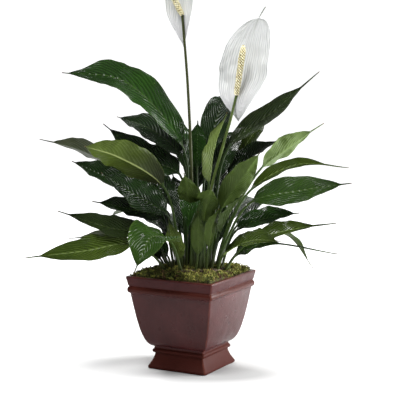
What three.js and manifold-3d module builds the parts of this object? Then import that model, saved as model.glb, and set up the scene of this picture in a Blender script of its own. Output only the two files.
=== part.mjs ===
// A potted peace lily: a square footed pot of glazed ceramic, filled with potting soil under a mat of moss,
// with the leaves of one clump and its two white blooms standing in it.
// Millimetres, +Z up. The origin is the centre of the pot's flat underside, and X and Y run along its sides.
import * as THREE from 'three';
import { mergeVertices } from 'three/addons/utils/BufferGeometryUtils.js';
import Module from 'manifold-3d';

const wasm = await Module();
wasm.setup();
const { degToRad, lerp, smoothstep } = THREE.MathUtils;

// Driving dimensions of the pot
const POT_HEIGHT = 146;
const RIM_HALF = 75;
const FOOT_HALF = 50.8;
const WALL = 6;
const FLOOR_HEIGHT = 9;
const BODY_FOOT = [44, 35];
const BODY_HEAD = [70, 119];
const BODY_BEND = [[57, 36], [63, 74]];
const BODY_STEPS = 8;
const WELL_HALF = 36;
const WELL_TOP = 39;
const THROAT_HEIGHT = 132;
const SQUARE_SIDES = 4;
// From the lip down over the flared rim and the bead at the neck, measured from the rim's outer edge
const RIM_MOULDING = [[0, 0], [0, -3], [-2.5, -14.5], [-3.5, -16], [-2, -17.5], [-1.2, -20], [-2, -24]];
// From the bead at the waist down over the spreading foot, as half sides and heights
const FOOT_MOULDING = [[43.5, 31.5], [45.8, 29], [45.8, 26], [42.5, 23.5], [44.8, 15], [49.3, 6], [50.8, 4]];

// What fills the pot
const SEAT_GAP = 0.35;
const SOIL_HEIGHT = 138;
const MOUND_RADIUS = 44;
const MOUND_TOP = 156;
const MOUND_SIDES = 14;
const MOUND_SINK = 3;
const MOSS_CELLS = 12;
const MOSS_HALF = RIM_HALF - WALL - 1;
const MOSS_EDGE_HEIGHT = 145;
const MOUND_RISE = 15;
const MOUND_FULLNESS = 0.35;
const LUMP_RISE = 1.3;
const LUMP_STRIDES = [[2.3, 1.7, 0], [-2.9, 1.9, 1]];

// The clump of leaves
const PLANT_TURN = 29;
const QUARTER_TURN = 90;
const CROWN = new THREE.Vector2(8, -2);
const ROOT_HEIGHT = 112;
const PETIOLE_STEPS = 4;
const BLADE_STEPS = 11;
const PETIOLE_ROOT_RADIUS = 2.5;
const PETIOLE_COLLAR_RADIUS = 1.7;
const BLADE_HALF_THICKNESS = 0.4;
const TAIL_HALF_WIDTH = 2;
const TIP_HALF_WIDTH = 0.6;
const KNEE_OUTWARD = 0.35;
const KNEE_UPWARD = 0.55;
const COLLAR_SHARE = 0.5;
const SPREAD_SHARE = 0.56;
const ROLL_START = 0.25;
const ROLL_END = 0.6;
const RIB_TAPER = 0.6;
const STALK_FLATNESS = 0.87;
const TIP_START = 0.75;
const OUTLINE_LEAN = 0.85;
const OUTLINE_FULLNESS = 0.85;
const WAVES = 3.5;
const WAVE_RISE = 0.07;

// The two blooms
const SCAPE_STEPS = 12;
const SCAPE_HOLE_STEPS = 3;
const SCAPE_CORNERS = 7;
const SCAPE_ROOT_RADIUS = 2.6;
const SCAPE_TOP_RADIUS = 1.9;
const SPADIX_RADIUS = 4.4;
const SPADIX_WAIST = 0.45;
const SPADIX_WAIST_RINGS = 1.7;
const SPADIX_TIP = 0.25;
const SPADIX_FOOT = 0.8;
const SPADIX_SHOULDER = 0.8;
const SPADIX_RINGS = 24;
const SPADIX_CORNERS = 12;
const FLORET_RISE = 0.9;
const SPATHE_STEPS = 14;
const SPATHE_CELLS = 6;
const SPATHE_THICKNESS = 0.8;
const SPATHE_SEAT = 2.52;
const SPATHE_MIDDLE = 0.46;
const SPATHE_TIP_HALF = 1.2;
const SPATHE_BELLY_REACH = 1.15;
const SPATHE_BELLY_LEAN = 0.6;
const SPATHE_CURL_POWER = 4;
const SPATHE_LOBE_FLATNESS = 0.3;
const SPATHE_HOLLOW_SPREAD = 3;
const SPATHE_WAVE = 1.2;
const SPATHE_WAVES = 14;

const COLOURS = {
  glaze: { color: 0x5a3234, roughness: 0.3, metalness: 0 },
  soil: { color: 0x2b1d14, roughness: 0.95, metalness: 0 },
  moss: { color: 0x66682a, roughness: 0.95, metalness: 0 },
  leaf: { color: 0x2c4a1e, roughness: 0.35, metalness: 0 },
  stalk: { color: 0x5b7434, roughness: 0.45, metalness: 0 },
  spathe: { color: 0xf1f0f4, roughness: 0.5, metalness: 0 },
  spadix: { color: 0xe8dfa6, roughness: 0.7, metalness: 0 },
};

// One row for each leaf, seen from the side that the plant shows best. A heading is in degrees from the
// right round through the back. The row gives the leaf's heading, the ring and heading of its root, the
// reach and height of its collar, its crest and its tip, the blade's width, its roll, twist and fold in
// degrees, and the share of its length that is drawn out into the drip tip.
const LEAVES = [
  [187, [16, 194], [20, 338], [109, 442], [204, 455], 70, -50, 15, 12, 0.05],
  [147, [16, 144], [26, 322], [84, 366], [152, 384], 58, -30, 0, 16, 0.05],
  [172, [16, 168], [26, 298], [81, 324], [146, 376], 58, -45, 0, 16, 0.08],
  [212, [24, 214], [58, 282], [134, 332], [192, 350], 60, 46, 0, 12, 0.02],
  [158, [24, 154], [78, 262], [186, 328], [274, 347], 56, 45, 0, 16, 0.14],
  [177, [24, 174], [57, 256], [138, 294], [193, 319], 52, -35, 0, 20, 0.04],
  [197, [24, 195], [46, 236], [103, 275], [150, 306], 60, -50, 0, 16, 0.06],
  [181, [32, 181], [52, 226], [106, 247], [161, 258], 44, -40, 0, 18, 0.1],
  [193, [32, 196], [73, 206], [138, 222], [215, 249], 44, -40, 0, 18, 0.1],
  [165, [32, 165], [84, 200], [151, 198], [211, 192], 34, 30, 0, 18, 0.15],
  [199, [32, 211], [98, 196], [180, 190], [268, 184], 46, -50, 0, 14, 0.12],
  [232, [32, 232], [62, 200], [108, 216], [148, 168], 78, -15, 0, 14, 0.08],
  [222, [36, 222], [38, 170], [50, 204], [58, 236], 40, 0, 0, 14, 0.1],
  [247, [16, 240], [22, 236], [34, 274], [50, 306], 40, 0, 0, 14, 0.08],
  [88, [8, 76], [10, 306], [24, 352], [46, 380], 28, 0, 0, 18, 0.1],
  [62, [16, 86], [34, 320], [78, 396], [116, 424], 48, 20, 0, 16, 0.08],
  [296, [16, 298], [40, 286], [58, 346], [100, 398], 34, 30, 0, 30, 0.1],
  [48, [16, 58], [38, 280], [74, 342], [110, 360], 50, 15, 0, 16, 0.06],
  [259, [16, 267], [33, 220], [55, 262], [73, 214], 36, -7, 0, 14, 0.1],
  [288, [24, 278], [34, 228], [48, 262], [66, 286], 36, -20, 0, 14, 0.08],
  [272, [24, 258], [32, 178], [38, 216], [46, 248], 24, 0, 0, 22, 0.1],
  [297, [24, 300], [38, 190], [52, 228], [72, 254], 22, 0, 0, 18, 0.1],
  [314, [24, 321], [48, 212], [74, 252], [98, 276], 40, 20, 0, 16, 0.08],
  [12, [16, 0], [49, 338], [125, 398], [195, 456], 40, 38, 0, 16, 0.2],
  [46, [24, 44], [92, 316], [132, 358], [162, 390], 34, 20, 0, 16, 0.06],
  [24, [16, 28], [52, 290], [99, 330], [149, 351], 38, 20, 0, 20, 0.12],
  [332, [16, 330], [40, 246], [75, 296], [106, 336], 42, -50, 0, 14, 0.04],
  [20, [24, 20], [106, 304], [160, 342], [215, 374], 44, -60, 0, 16, 0.2],
  [1, [24, 0], [80, 272], [152, 314], [234, 309], 28, 35, 0, 22, 0.2],
  [345, [24, 341], [84, 258], [160, 279], [238, 292], 48, 55, 0, 12, 0.1],
  [356, [32, 357], [60, 212], [108, 233], [158, 241], 42, 35, 0, 20, 0.08],
  [340, [32, 340], [86, 200], [145, 220], [220, 234], 38, 35, 0, 18, 0.22],
  [322, [32, 324], [50, 178], [100, 206], [156, 210], 48, 30, 0, 16, 0.08],
  [349, [39, 352], [58, 172], [105, 194], [218, 182], 34, 30, 0, 20, 0.36],
  [10, [32, 14], [98, 206], [144, 202], [186, 148], 36, 0, 0, 16, 0.1],
  [116, [16, 116], [24, 296], [72, 358], [124, 374], 50, 0, 0, 16, 0.1],
  [90, [24, 88], [42, 268], [100, 330], [162, 342], 52, 0, 0, 16, 0.1],
  [134, [24, 130], [52, 240], [115, 290], [182, 296], 52, 0, 0, 16, 0.1],
  [66, [24, 66], [52, 250], [110, 302], [175, 308], 50, 0, 0, 16, 0.1],
  [110, [24, 109], [44, 224], [98, 258], [160, 262], 50, 0, 0, 16, 0.1],
  [106, [32, 103], [70, 195], [140, 222], [212, 200], 52, 0, 0, 14, 0.1],
  [80, [32, 80], [72, 200], [145, 236], [220, 222], 52, 0, 0, 16, 0.1],
  [54, [32, 54], [70, 205], [140, 245], [208, 234], 50, 0, 0, 16, 0.1],
  [136, [32, 134], [70, 204], [140, 232], [205, 216], 50, 0, 0, 16, 0.1],
  [32, [32, 33], [72, 212], [130, 250], [184, 256], 42, 0, 0, 16, 0.1],
  [123, [32, 119], [35, 206], [55, 264], [72, 297], 48, 0, 0, 14, 0.1],
  [152, [32, 150], [44, 186], [74, 237], [94, 264], 46, 0, 0, 14, 0.1],
  [52, [32, 67], [41, 179], [64, 248], [91, 277], 46, 10, 0, 14, 0.1],
  [180, [39, 167], [55, 166], [87, 204], [109, 218], 44, -36, 0, 14, 0.1],
  [202, [38, 201], [47, 173], [67, 198], [86, 220], 42, -31, 0, 14, 0.1],
  [82, [39, 91], [44, 182], [60, 221], [62, 264], 42, 4, 0, 14, 0.1],
];

// The blooms: the stalk's course as headings, reaches and heights, where the spathe looks, how the spathe
// and then the spadix lean forward and sideways in degrees, the spadix's length, the spathe's length and
// width, the share of it below the joint, the share of its thin tip, how blunt it is above its middle, and
// how it cups, bellies, stands off the joint, flares and curls.
const FLOWERS = [
  {
    name: 'tall',
    scape: [[144, 8, ROOT_HEIGHT], [162, 9, 317], [170, 11, 376], [176, 15, 452], [180, 22, 541]],
    face: 235,
    sheetLean: [3, 5],
    spadixLean: [25, -15],
    spadix: 64,
    spathe: 176,
    width: 54,
    lobe: 0.27,
    tail: 0.06,
    fullness: 0.8,
    cup: 0.64,
    belly: 4,
    hollow: 4,
    flare: 5,
    curl: -12,
  },
  {
    name: 'short',
    scape: [[8, 8, ROOT_HEIGHT], [20, 18, 250], [10, 45, 357], [5, 52, 384], [0, 60, 420]],
    face: 238,
    sheetLean: [-6, 7],
    spadixLean: [3, 11],
    spadix: 76,
    spathe: 176,
    width: 87,
    lobe: 0.23,
    tail: 0.1,
    fullness: 0.39,
    cup: 0.1,
    belly: 10,
    hollow: 8,
    flare: 17,
    curl: 24,
  },
];

// A point at a reach and height from the crown's centre, in the direction of a heading.
function crownPoint(heading, reach, height) {
  const turn = degToRad(PLANT_TURN);
  const angle = degToRad(heading);
  const flat = new THREE.Vector2(reach * Math.cos(angle), reach * Math.sin(angle)).add(CROWN);
  flat.rotateAround(new THREE.Vector2(), turn);
  return new THREE.Vector3(flat.x, flat.y, height);
}

// The midline of a leaf, from its root through the knee of its petiole, the collar and the crest to the tip.
function leafPath([heading, root, collar, crest, tip]) {
  const [ring, seat] = root;
  const foot = crownPoint(seat, ring, ROOT_HEIGHT);
  const neck = crownPoint(heading, ...collar);
  const knee = foot.clone().lerp(neck, KNEE_OUTWARD);
  knee.z = lerp(foot.z, neck.z, KNEE_UPWARD);
  return new THREE.CatmullRomCurve3([
    foot,
    knee,
    neck,
    crownPoint(heading, ...crest),
    crownPoint(heading, ...tip),
  ]);
}

// The place, sideways and upward directions of a leaf at a share of its midline.
function leafFrame(path, [heading, , , , , , roll, twist], share) {
  const place = path.getPoint(share);
  const forward = path.getTangent(share);
  const across = degToRad(heading + PLANT_TURN + QUARTER_TURN);
  const side = new THREE.Vector3(Math.cos(across), Math.sin(across), 0);
  side.addScaledVector(forward, -side.dot(forward)).normalize();
  const turn = roll * smoothstep(share, ROLL_START, ROLL_END) + twist * alongBlade(share);
  side.applyAxisAngle(forward, degToRad(turn));
  const up = new THREE.Vector3().crossVectors(forward, side);
  return { place, side, up };
}

// How far along the blade a share of the midline lies, and 0 on the petiole.
function alongBlade(share) {
  return Math.max(0, (share - COLLAR_SHARE) / (1 - COLLAR_SHARE));
}

// Half the width of a blade at a share of its length, as a part of its greatest half width.
function bladeOutline(along, tail) {
  const body = along / (1 - tail);
  return body < 1 ? Math.sin(Math.PI * body ** OUTLINE_LEAN) ** OUTLINE_FULLNESS : 0;
}

// The six corners of a leaf's section: a round petiole that widens into a folded, wavy blade.
function leafSection(path, leaf, share, extra) {
  const [, , , , , width, , , fold, tail] = leaf;
  const { place, side, up } = leafFrame(path, leaf, share);
  const along = alongBlade(share);
  const spread = smoothstep(share, COLLAR_SHARE, SPREAD_SHARE);
  const radius = lerp(PETIOLE_ROOT_RADIUS, PETIOLE_COLLAR_RADIUS, Math.min(1, share / COLLAR_SHARE)) + extra;
  const rib = lerp(radius, BLADE_HALF_THICKNESS, along ** RIB_TAPER);
  const stalk = STALK_FLATNESS * lerp(radius, TAIL_HALF_WIDTH, Math.min(1, 2 * along));
  const narrow = lerp(stalk, TIP_HALF_WIDTH, Math.max(0, (along - TIP_START) / (1 - TIP_START)));
  const edge = Math.max(narrow, (width / 2) * bladeOutline(along, tail));
  const rise = edge * Math.sin(degToRad(fold) * spread);
  const reach = edge * Math.cos(degToRad(fold) * spread);
  const halfEdge = lerp(radius / 2, BLADE_HALF_THICKNESS, spread);
  const top = lerp(radius, BLADE_HALF_THICKNESS, spread);
  const corner = (sign, height) => {
    const wave = spread * WAVE_RISE * edge * Math.sin(2 * Math.PI * WAVES * along + sign);
    const lift = Math.abs(sign) * (rise + wave) + height;
    return place.clone().addScaledVector(side, sign * reach).addScaledVector(up, lift);
  };
  return [
    corner(-1, halfEdge),
    corner(0, top),
    corner(1, halfEdge),
    corner(1, -halfEdge),
    corner(0, -rib),
    corner(-1, -halfEdge),
  ];
}

// A closed geometry through a row of like sections, with a strip of triangles over each end. The second half
// of each section runs back under the first, and its cells are cut along the same lines, so that the two
// faces of a thin sheet stay apart.
function loft(sections) {
  const around = sections[0].length;
  const index = [];
  for (let ring = 0; ring + 1 < sections.length; ring += 1) {
    for (let k = 0; k < around; k += 1) {
      const next = (k + 1) % around;
      const [a, b] = [ring * around + k, ring * around + next];
      const [c, d] = [a + around, b + around];
      index.push(...(2 * k < around ? [a, c, b, b, c, d] : [a, c, d, a, d, b]));
    }
  }
  const last = (sections.length - 1) * around;
  for (let k = 0; 2 * k + 2 < around; k += 1) {
    const far = around - 1 - k;
    index.push(k, k + 1, far, last + k, last + far, last + k + 1);
    if (k + 2 < far) {
      index.push(k + 1, far - 1, far, last + k + 1, last + far, last + far - 1);
    }
  }
  const geometry = new THREE.BufferGeometry().setFromPoints(sections.flat());
  geometry.setIndex(index);
  geometry.computeVertexNormals();
  return geometry;
}

function leafGeometry(leaf) {
  const path = leafPath(leaf);
  const sections = [];
  for (let step = 0; step < PETIOLE_STEPS; step += 1) {
    sections.push(leafSection(path, leaf, (COLLAR_SHARE * step) / PETIOLE_STEPS, 0));
  }
  for (let step = 0; step <= BLADE_STEPS; step += 1) {
    sections.push(leafSection(path, leaf, lerp(COLLAR_SHARE, 1, step / BLADE_STEPS), 0));
  }
  return loft(sections);
}

function addPiece(group, name, geometry, finish) {
  const mesh = new THREE.Mesh(geometry, new THREE.MeshStandardMaterial(COLOURS[finish]));
  mesh.name = name;
  group.add(mesh);
}

// A square vessel or filling: a profile of half sides and heights, turned with four sides.
function squareTurning(profile) {
  const points = profile.map(([half, height]) => new THREE.Vector2(half * Math.SQRT2, height));
  const geometry = new THREE.LatheGeometry(points, SQUARE_SIDES, Math.PI / 4);
  return geometry.rotateX(Math.PI / 2);
}

const bodyCurve = new THREE.CubicBezierCurve(
  new THREE.Vector2(...BODY_FOOT),
  new THREE.Vector2(...BODY_BEND[0]),
  new THREE.Vector2(...BODY_BEND[1]),
  new THREE.Vector2(...BODY_HEAD),
);
const bodyOutside = bodyCurve.getPoints(BODY_STEPS).map((p) => [p.x, p.y]);
const potInside = [
  [0, FLOOR_HEIGHT],
  [WELL_HALF, FLOOR_HEIGHT],
  [WELL_HALF, WELL_TOP],
  ...bodyOutside.slice(2).map(([half, height]) => [half - WALL, height + 1]),
  [RIM_HALF - WALL - 1, THROAT_HEIGHT],
  [RIM_HALF - WALL, POT_HEIGHT],
];
const potOutside = [
  ...RIM_MOULDING.map(([outward, upward]) => [RIM_HALF + outward, POT_HEIGHT + upward]),
  ...bodyOutside.slice().reverse(),
  ...FOOT_MOULDING,
  [FOOT_HALF, 0],
  [0, 0],
];

// A solid for the boolean work, from any closed geometry.
function solid(geometry) {
  const bare = geometry.clone();
  bare.deleteAttribute('normal');
  bare.deleteAttribute('uv');
  const merged = mergeVertices(bare);
  return new wasm.Manifold(new wasm.Mesh({
    numProp: 3,
    vertProperties: merged.attributes.position.array,
    triVerts: new Uint32Array(merged.index.array),
  }));
}

function geometryOf(body) {
  const mesh = body.getMesh();
  const geometry = new THREE.BufferGeometry();
  geometry.setAttribute('position', new THREE.BufferAttribute(mesh.vertProperties, 3));
  geometry.setIndex(new THREE.BufferAttribute(mesh.triVerts, 1));
  geometry.computeVertexNormals();
  return geometry;
}

// A leaf's petiole, grown all round: the hole that it stands in.
function leafHole(leaf) {
  const path = leafPath(leaf);
  const sections = [];
  for (let step = 0; step <= PETIOLE_STEPS; step += 1) {
    sections.push(leafSection(path, leaf, (COLLAR_SHARE * step) / PETIOLE_STEPS, SEAT_GAP));
  }
  return solid(loft(sections));
}

// The mat of moss: a lumpy mound that is flat underneath, before the stems' holes are made in it.
function mossGeometry() {
  const top = [];
  const rim = [];
  const index = [];
  const cell = (2 * MOSS_HALF) / MOSS_CELLS;
  for (let row = 0; row <= MOSS_CELLS; row += 1) {
    for (let column = 0; column <= MOSS_CELLS; column += 1) {
      const x = column * cell - MOSS_HALF;
      const y = row * cell - MOSS_HALF;
      const inward = 1 - Math.max(Math.abs(x), Math.abs(y)) / MOSS_HALF;
      const mound = MOSS_EDGE_HEIGHT + MOUND_RISE * inward ** MOUND_FULLNESS;
      const phases = LUMP_STRIDES.map(([dx, dy, start]) => dx * column + dy * row + start);
      const lump = LUMP_RISE * (Math.sin(phases[0]) + Math.sin(phases[1]));
      top.push(new THREE.Vector3(x, y, mound + lump));
    }
  }
  const at = (column, row) => row * (MOSS_CELLS + 1) + column;
  for (let row = 0; row < MOSS_CELLS; row += 1) {
    for (let column = 0; column < MOSS_CELLS; column += 1) {
      const [a, b] = [at(column, row), at(column + 1, row)];
      const [c, d] = [at(column, row + 1), at(column + 1, row + 1)];
      index.push(a, b, d, a, d, c);
    }
  }
  const sides = [
    (k) => at(k, 0),
    (k) => at(MOSS_CELLS, k),
    (k) => at(MOSS_CELLS - k, MOSS_CELLS),
    (k) => at(0, MOSS_CELLS - k),
  ];
  sides.forEach((corner) => {
    for (let k = 0; k < MOSS_CELLS; k += 1) {
      rim.push(corner(k));
    }
  });
  const under = rim.map((k) => top[k].clone().setZ(SOIL_HEIGHT + SEAT_GAP));
  const middle = top.length + under.length;
  rim.forEach((k, place) => {
    const next = (place + 1) % rim.length;
    const [low, lowNext] = [top.length + place, top.length + next];
    index.push(k, low, lowNext, k, lowNext, rim[next], lowNext, low, middle);
  });
  const points = [...top, ...under, new THREE.Vector3(0, 0, SOIL_HEIGHT + SEAT_GAP)];
  const geometry = new THREE.BufferGeometry().setFromPoints(points);
  geometry.setIndex(index);
  return geometry;
}

// A round section of a stalk or spadix, with every other corner raised where it carries florets.
function roundSection({ place, side, up }, radius, corners, raised) {
  const points = [];
  for (let k = 0; k < corners; k += 1) {
    const angle = (-2 * Math.PI * k) / corners;
    const reach = radius + raised(k);
    const point = place.clone().addScaledVector(side, reach * Math.cos(angle));
    points.push(point.addScaledVector(up, reach * Math.sin(angle)));
  }
  return points;
}

// The place and cross directions of a flower's stalk at a share of its height.
function stalkFrame(curve, share) {
  const forward = curve.getTangent(share);
  const side = new THREE.Vector3(1, 0, 0).addScaledVector(forward, -forward.x).normalize();
  return { place: curve.getPoint(share), side, up: new THREE.Vector3().crossVectors(forward, side) };
}

function scapeCurve({ scape }) {
  return new THREE.CatmullRomCurve3(scape.map((point) => crownPoint(...point)));
}

function scapeGeometry(flower, first, last, extra) {
  const curve = scapeCurve(flower);
  const sections = [];
  for (let step = first; step <= last; step += 1) {
    const share = step / SCAPE_STEPS;
    const radius = lerp(SCAPE_ROOT_RADIUS, SCAPE_TOP_RADIUS, share) + extra;
    sections.push(roundSection(stalkFrame(curve, share), radius, SCAPE_CORNERS, () => 0));
  }
  return loft(sections);
}

// The directions of a flower: where its spathe looks, the spathe's side and rise, and the spadix's line.
function flowerFrame(flower) {
  const front = crownPoint(flower.face, 1, 0).sub(crownPoint(0, 0, 0));
  const side = new THREE.Vector3(0, 0, 1).cross(front);
  const leaning = ([forward, sideways]) => new THREE.Vector3(0, 0, 1)
    .addScaledVector(front, Math.tan(degToRad(forward)))
    .addScaledVector(side, Math.tan(degToRad(sideways)))
    .normalize();
  return { front, side, up: leaning(flower.sheetLean), axis: leaning(flower.spadixLean) };
}

function spadixGeometry(flower) {
  const { axis } = flowerFrame(flower);
  const foot = scapeCurve(flower).getPoint(1).addScaledVector(axis, SEAT_GAP + SPADIX_FOOT);
  const side = new THREE.Vector3(1, 0, 0).addScaledVector(axis, -axis.x).normalize();
  const up = new THREE.Vector3().crossVectors(axis, side);
  const sections = [];
  for (let ring = 0; ring <= SPADIX_RINGS; ring += 1) {
    const share = ring / SPADIX_RINGS;
    const place = foot.clone().addScaledVector(axis, share * flower.spadix);
    const round = Math.sqrt(1 - Math.max(0, (share - SPADIX_SHOULDER) / (1 - SPADIX_SHOULDER)) ** 2);
    const girth = Math.min(Math.max(SPADIX_TIP, round), lerp(SPADIX_WAIST, 1, ring / SPADIX_WAIST_RINGS));
    const raised = (k) => ((ring + k) % 2) * FLORET_RISE * girth;
    sections.push(roundSection({ place, side, up }, SPADIX_RADIUS * girth, SPADIX_CORNERS, raised));
  }
  return loft(sections);
}

// How far a spathe's middle lies behind the spadix, and how far out its edge is, at a share of its length.
function spatheRow(flower, share) {
  const above = Math.max(0, share - flower.lobe);
  const bend = (above / (1 - flower.lobe)) ** SPATHE_CURL_POWER;
  const below = Math.max(0, flower.lobe - share) / flower.lobe;
  const belly = flower.belly * Math.sin(Math.PI * (SPATHE_BELLY_REACH * above) ** SPATHE_BELLY_LEAN);
  const body = Math.min(1, share / (1 - flower.tail));
  const outline = Math.max(0, Math.sin(Math.PI * body)) ** (body < SPATHE_MIDDLE ? 1 : flower.fullness);
  return {
    back: SPATHE_SEAT + belly + flower.flare * below ** 2,
    half: Math.max(SPATHE_TIP_HALF, (flower.width / 2) * outline),
    curl: flower.curl * bend,
    depth: 1 - SPATHE_LOBE_FLATNESS * below,
  };
}

// The white sheet behind the spadix, cupped towards it, lobed below the joint and drawn out to a point.
function spatheGeometry(flower) {
  const { front, side, up } = flowerFrame(flower);
  const joint = scapeCurve(flower).getPoint(1);
  const sections = [];
  for (let step = 0; step <= SPATHE_STEPS; step += 1) {
    const share = step / SPATHE_STEPS;
    const { back, half, curl, depth } = spatheRow(flower, share);
    const middle = joint.clone().addScaledVector(up, (share - flower.lobe) * flower.spathe);
    const outer = [];
    const inner = [];
    for (let k = 0; k <= SPATHE_CELLS; k += 1) {
      const across = (2 * k) / SPATHE_CELLS - 1;
      const wave = SPATHE_WAVE * Math.abs(across) * Math.sin(SPATHE_WAVES * share + across);
      const cup = flower.cup * half * across ** 2 + wave;
      const away = Math.hypot(back, flower.hollow * Math.min(1, SPATHE_HOLLOW_SPREAD * Math.abs(across)));
      const point = middle.clone().addScaledVector(side, across * half + curl);
      point.addScaledVector(front, cup * depth - away);
      outer.push(point.clone().addScaledVector(front, -SPATHE_THICKNESS / 2));
      inner.push(point.clone().addScaledVector(front, SPATHE_THICKNESS / 2));
    }
    sections.push([...inner.reverse(), ...outer]);
  }
  return loft(sections);
}

// The potting soil: the inside of the pot up to the moss, kept clear of its wall.
function soilGeometry() {
  const below = potInside.filter(([, height]) => height < SOIL_HEIGHT - MOUND_SINK);
  const profile = below.map(([half, height]) => [Math.max(0, half - SEAT_GAP), height]);
  profile[0][1] += SEAT_GAP;
  profile[1][1] += SEAT_GAP;
  profile.push([RIM_HALF - WALL - 1 - SEAT_GAP, SOIL_HEIGHT], [0, SOIL_HEIGHT]);
  return squareTurning(profile);
}

// A round block about the crown: the mound of soil it stands in, or the opening in the moss around that.
function crownBlock(radius, top) {
  const height = top - SOIL_HEIGHT + MOUND_SINK;
  const geometry = new THREE.CylinderGeometry(radius, radius, height, MOUND_SIDES);
  const centre = crownPoint(0, 0, top - height / 2);
  return solid(geometry.rotateX(Math.PI / 2).translate(centre.x, centre.y, centre.z));
}

const lily = new THREE.Group();
const holes = wasm.Manifold.union([
  ...LEAVES.map(leafHole),
  ...FLOWERS.map((flower) => solid(scapeGeometry(flower, 0, SCAPE_HOLE_STEPS, SEAT_GAP))),
]);
addPiece(lily, 'pot', squareTurning([...potInside, ...potOutside].reverse()), 'glaze');
const soil = solid(soilGeometry()).add(crownBlock(MOUND_RADIUS, MOUND_TOP)).subtract(holes);
const mossOpening = crownBlock(MOUND_RADIUS + SEAT_GAP, 2 * MOUND_TOP);
const moss = solid(mossGeometry()).subtract(mossOpening).subtract(holes);
addPiece(lily, 'soil', geometryOf(soil), 'soil');
addPiece(lily, 'moss', geometryOf(moss), 'moss');
LEAVES.forEach((leaf, k) => {
  addPiece(lily, `leaf_${String(k + 1).padStart(2, '0')}`, leafGeometry(leaf), 'leaf');
});
FLOWERS.forEach((flower) => {
  addPiece(lily, `scape_${flower.name}`, scapeGeometry(flower, 0, SCAPE_STEPS, 0), 'stalk');
  addPiece(lily, `spathe_${flower.name}`, spatheGeometry(flower), 'spathe');
  addPiece(lily, `spadix_${flower.name}`, spadixGeometry(flower), 'spadix');
});

export default lily;
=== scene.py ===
"""A potted peace lily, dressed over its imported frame: glazed pot, moss, leaves and two white blooms."""

from __future__ import annotations

import logging
import math
from collections.abc import Iterator
from contextlib import contextmanager
from dataclasses import dataclass
from enum import Enum

import bpy
import numpy as np
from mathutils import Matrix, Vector, noise

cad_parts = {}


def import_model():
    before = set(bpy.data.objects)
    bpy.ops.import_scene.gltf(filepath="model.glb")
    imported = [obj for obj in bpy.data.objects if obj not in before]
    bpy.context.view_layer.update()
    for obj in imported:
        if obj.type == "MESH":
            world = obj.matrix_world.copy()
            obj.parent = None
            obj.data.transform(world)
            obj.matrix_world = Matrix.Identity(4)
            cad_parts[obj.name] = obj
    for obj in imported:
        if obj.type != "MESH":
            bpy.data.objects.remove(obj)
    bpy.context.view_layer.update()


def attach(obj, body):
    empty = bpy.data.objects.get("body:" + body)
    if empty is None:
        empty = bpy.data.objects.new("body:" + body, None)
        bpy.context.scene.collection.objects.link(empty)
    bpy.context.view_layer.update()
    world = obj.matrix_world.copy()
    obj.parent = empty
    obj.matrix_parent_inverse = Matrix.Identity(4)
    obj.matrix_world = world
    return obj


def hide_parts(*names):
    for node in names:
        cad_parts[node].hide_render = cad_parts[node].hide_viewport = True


Piece = bpy.types.Object
Material = bpy.types.Material
Socket = bpy.types.NodeSocket
Array = np.ndarray
Values = np.ndarray | float
Pair = tuple[float, float]
Colour = tuple[float, float, float]

log = logging.getLogger("peace_lily")

# The pot's and the plant's sizes are in millimetres until they are written into a mesh, in metres.
MM = 0.001
# How far the plant is turned in its pot, where its crown stands, and how high its leaves are rooted.
PLANT_TURN = math.radians(29)
CROWN = (8.0, -2.0)
ROOT_HEIGHT = 112.0
# Points nearer than this, in metres, become one.
WELD = 1e-6
TUBE_SIDES = 16

# Small geometry helpers


def smoothstep(x: Values, low: float, high: float) -> Values:
    """Returns the smooth ramp from 0 at low to 1 at high."""
    t = np.clip((np.asarray(x, float) - low) / (high - low), 0, 1)
    return t * t * (3 - 2 * t)


def lerp(a: Values, b: Values, t: Values) -> Values:
    """Returns the straight blend of a and b at t."""
    return a + (b - a) * t


def unit(v: Array) -> Array:
    """Returns the vectors of v at length one."""
    return v / np.maximum(np.linalg.norm(v, axis=-1, keepdims=True), 1e-12)


def level_way(heading: float) -> Array:
    """Returns the level direction of a heading of the plant, in the frame of the pot."""
    a = math.radians(heading) + PLANT_TURN
    return np.array([math.cos(a), math.sin(a), 0.0])


def crown_point(heading: float, reach: float, height: float) -> Array:
    """Gives a place in the clump.

    Args:
        heading: degrees from the plant's right, round through its back.
        reach: millimetres from the crown's centre.
        height: millimetres above the table.

    Returns:
        The point in the frame of the pot, in millimetres.
    """
    a = math.radians(heading)
    x = CROWN[0] + reach * math.cos(a)
    y = CROWN[1] + reach * math.sin(a)
    c, s = math.cos(PLANT_TURN), math.sin(PLANT_TURN)
    return np.array([x * c - y * s, x * s + y * c, height])


def crumpled(seed: Vector, across: Array, along: Array, pace: tuple[float, float, float]) -> Array:
    """Samples smooth noise over a sheet.

    Args:
        seed: where the sheet lies in the noise.
        across: the sheet's columns.
        along: its rows.
        pace: how fast the noise changes across and along, and its level.

    Returns:
        Rows by columns of values from about -1 to 1.
    """
    fast, slow, level = pace
    rows = [[noise.noise(seed + Vector((x * fast, y * slow, level))) for x in across] for y in along]
    return np.array(rows)


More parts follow.
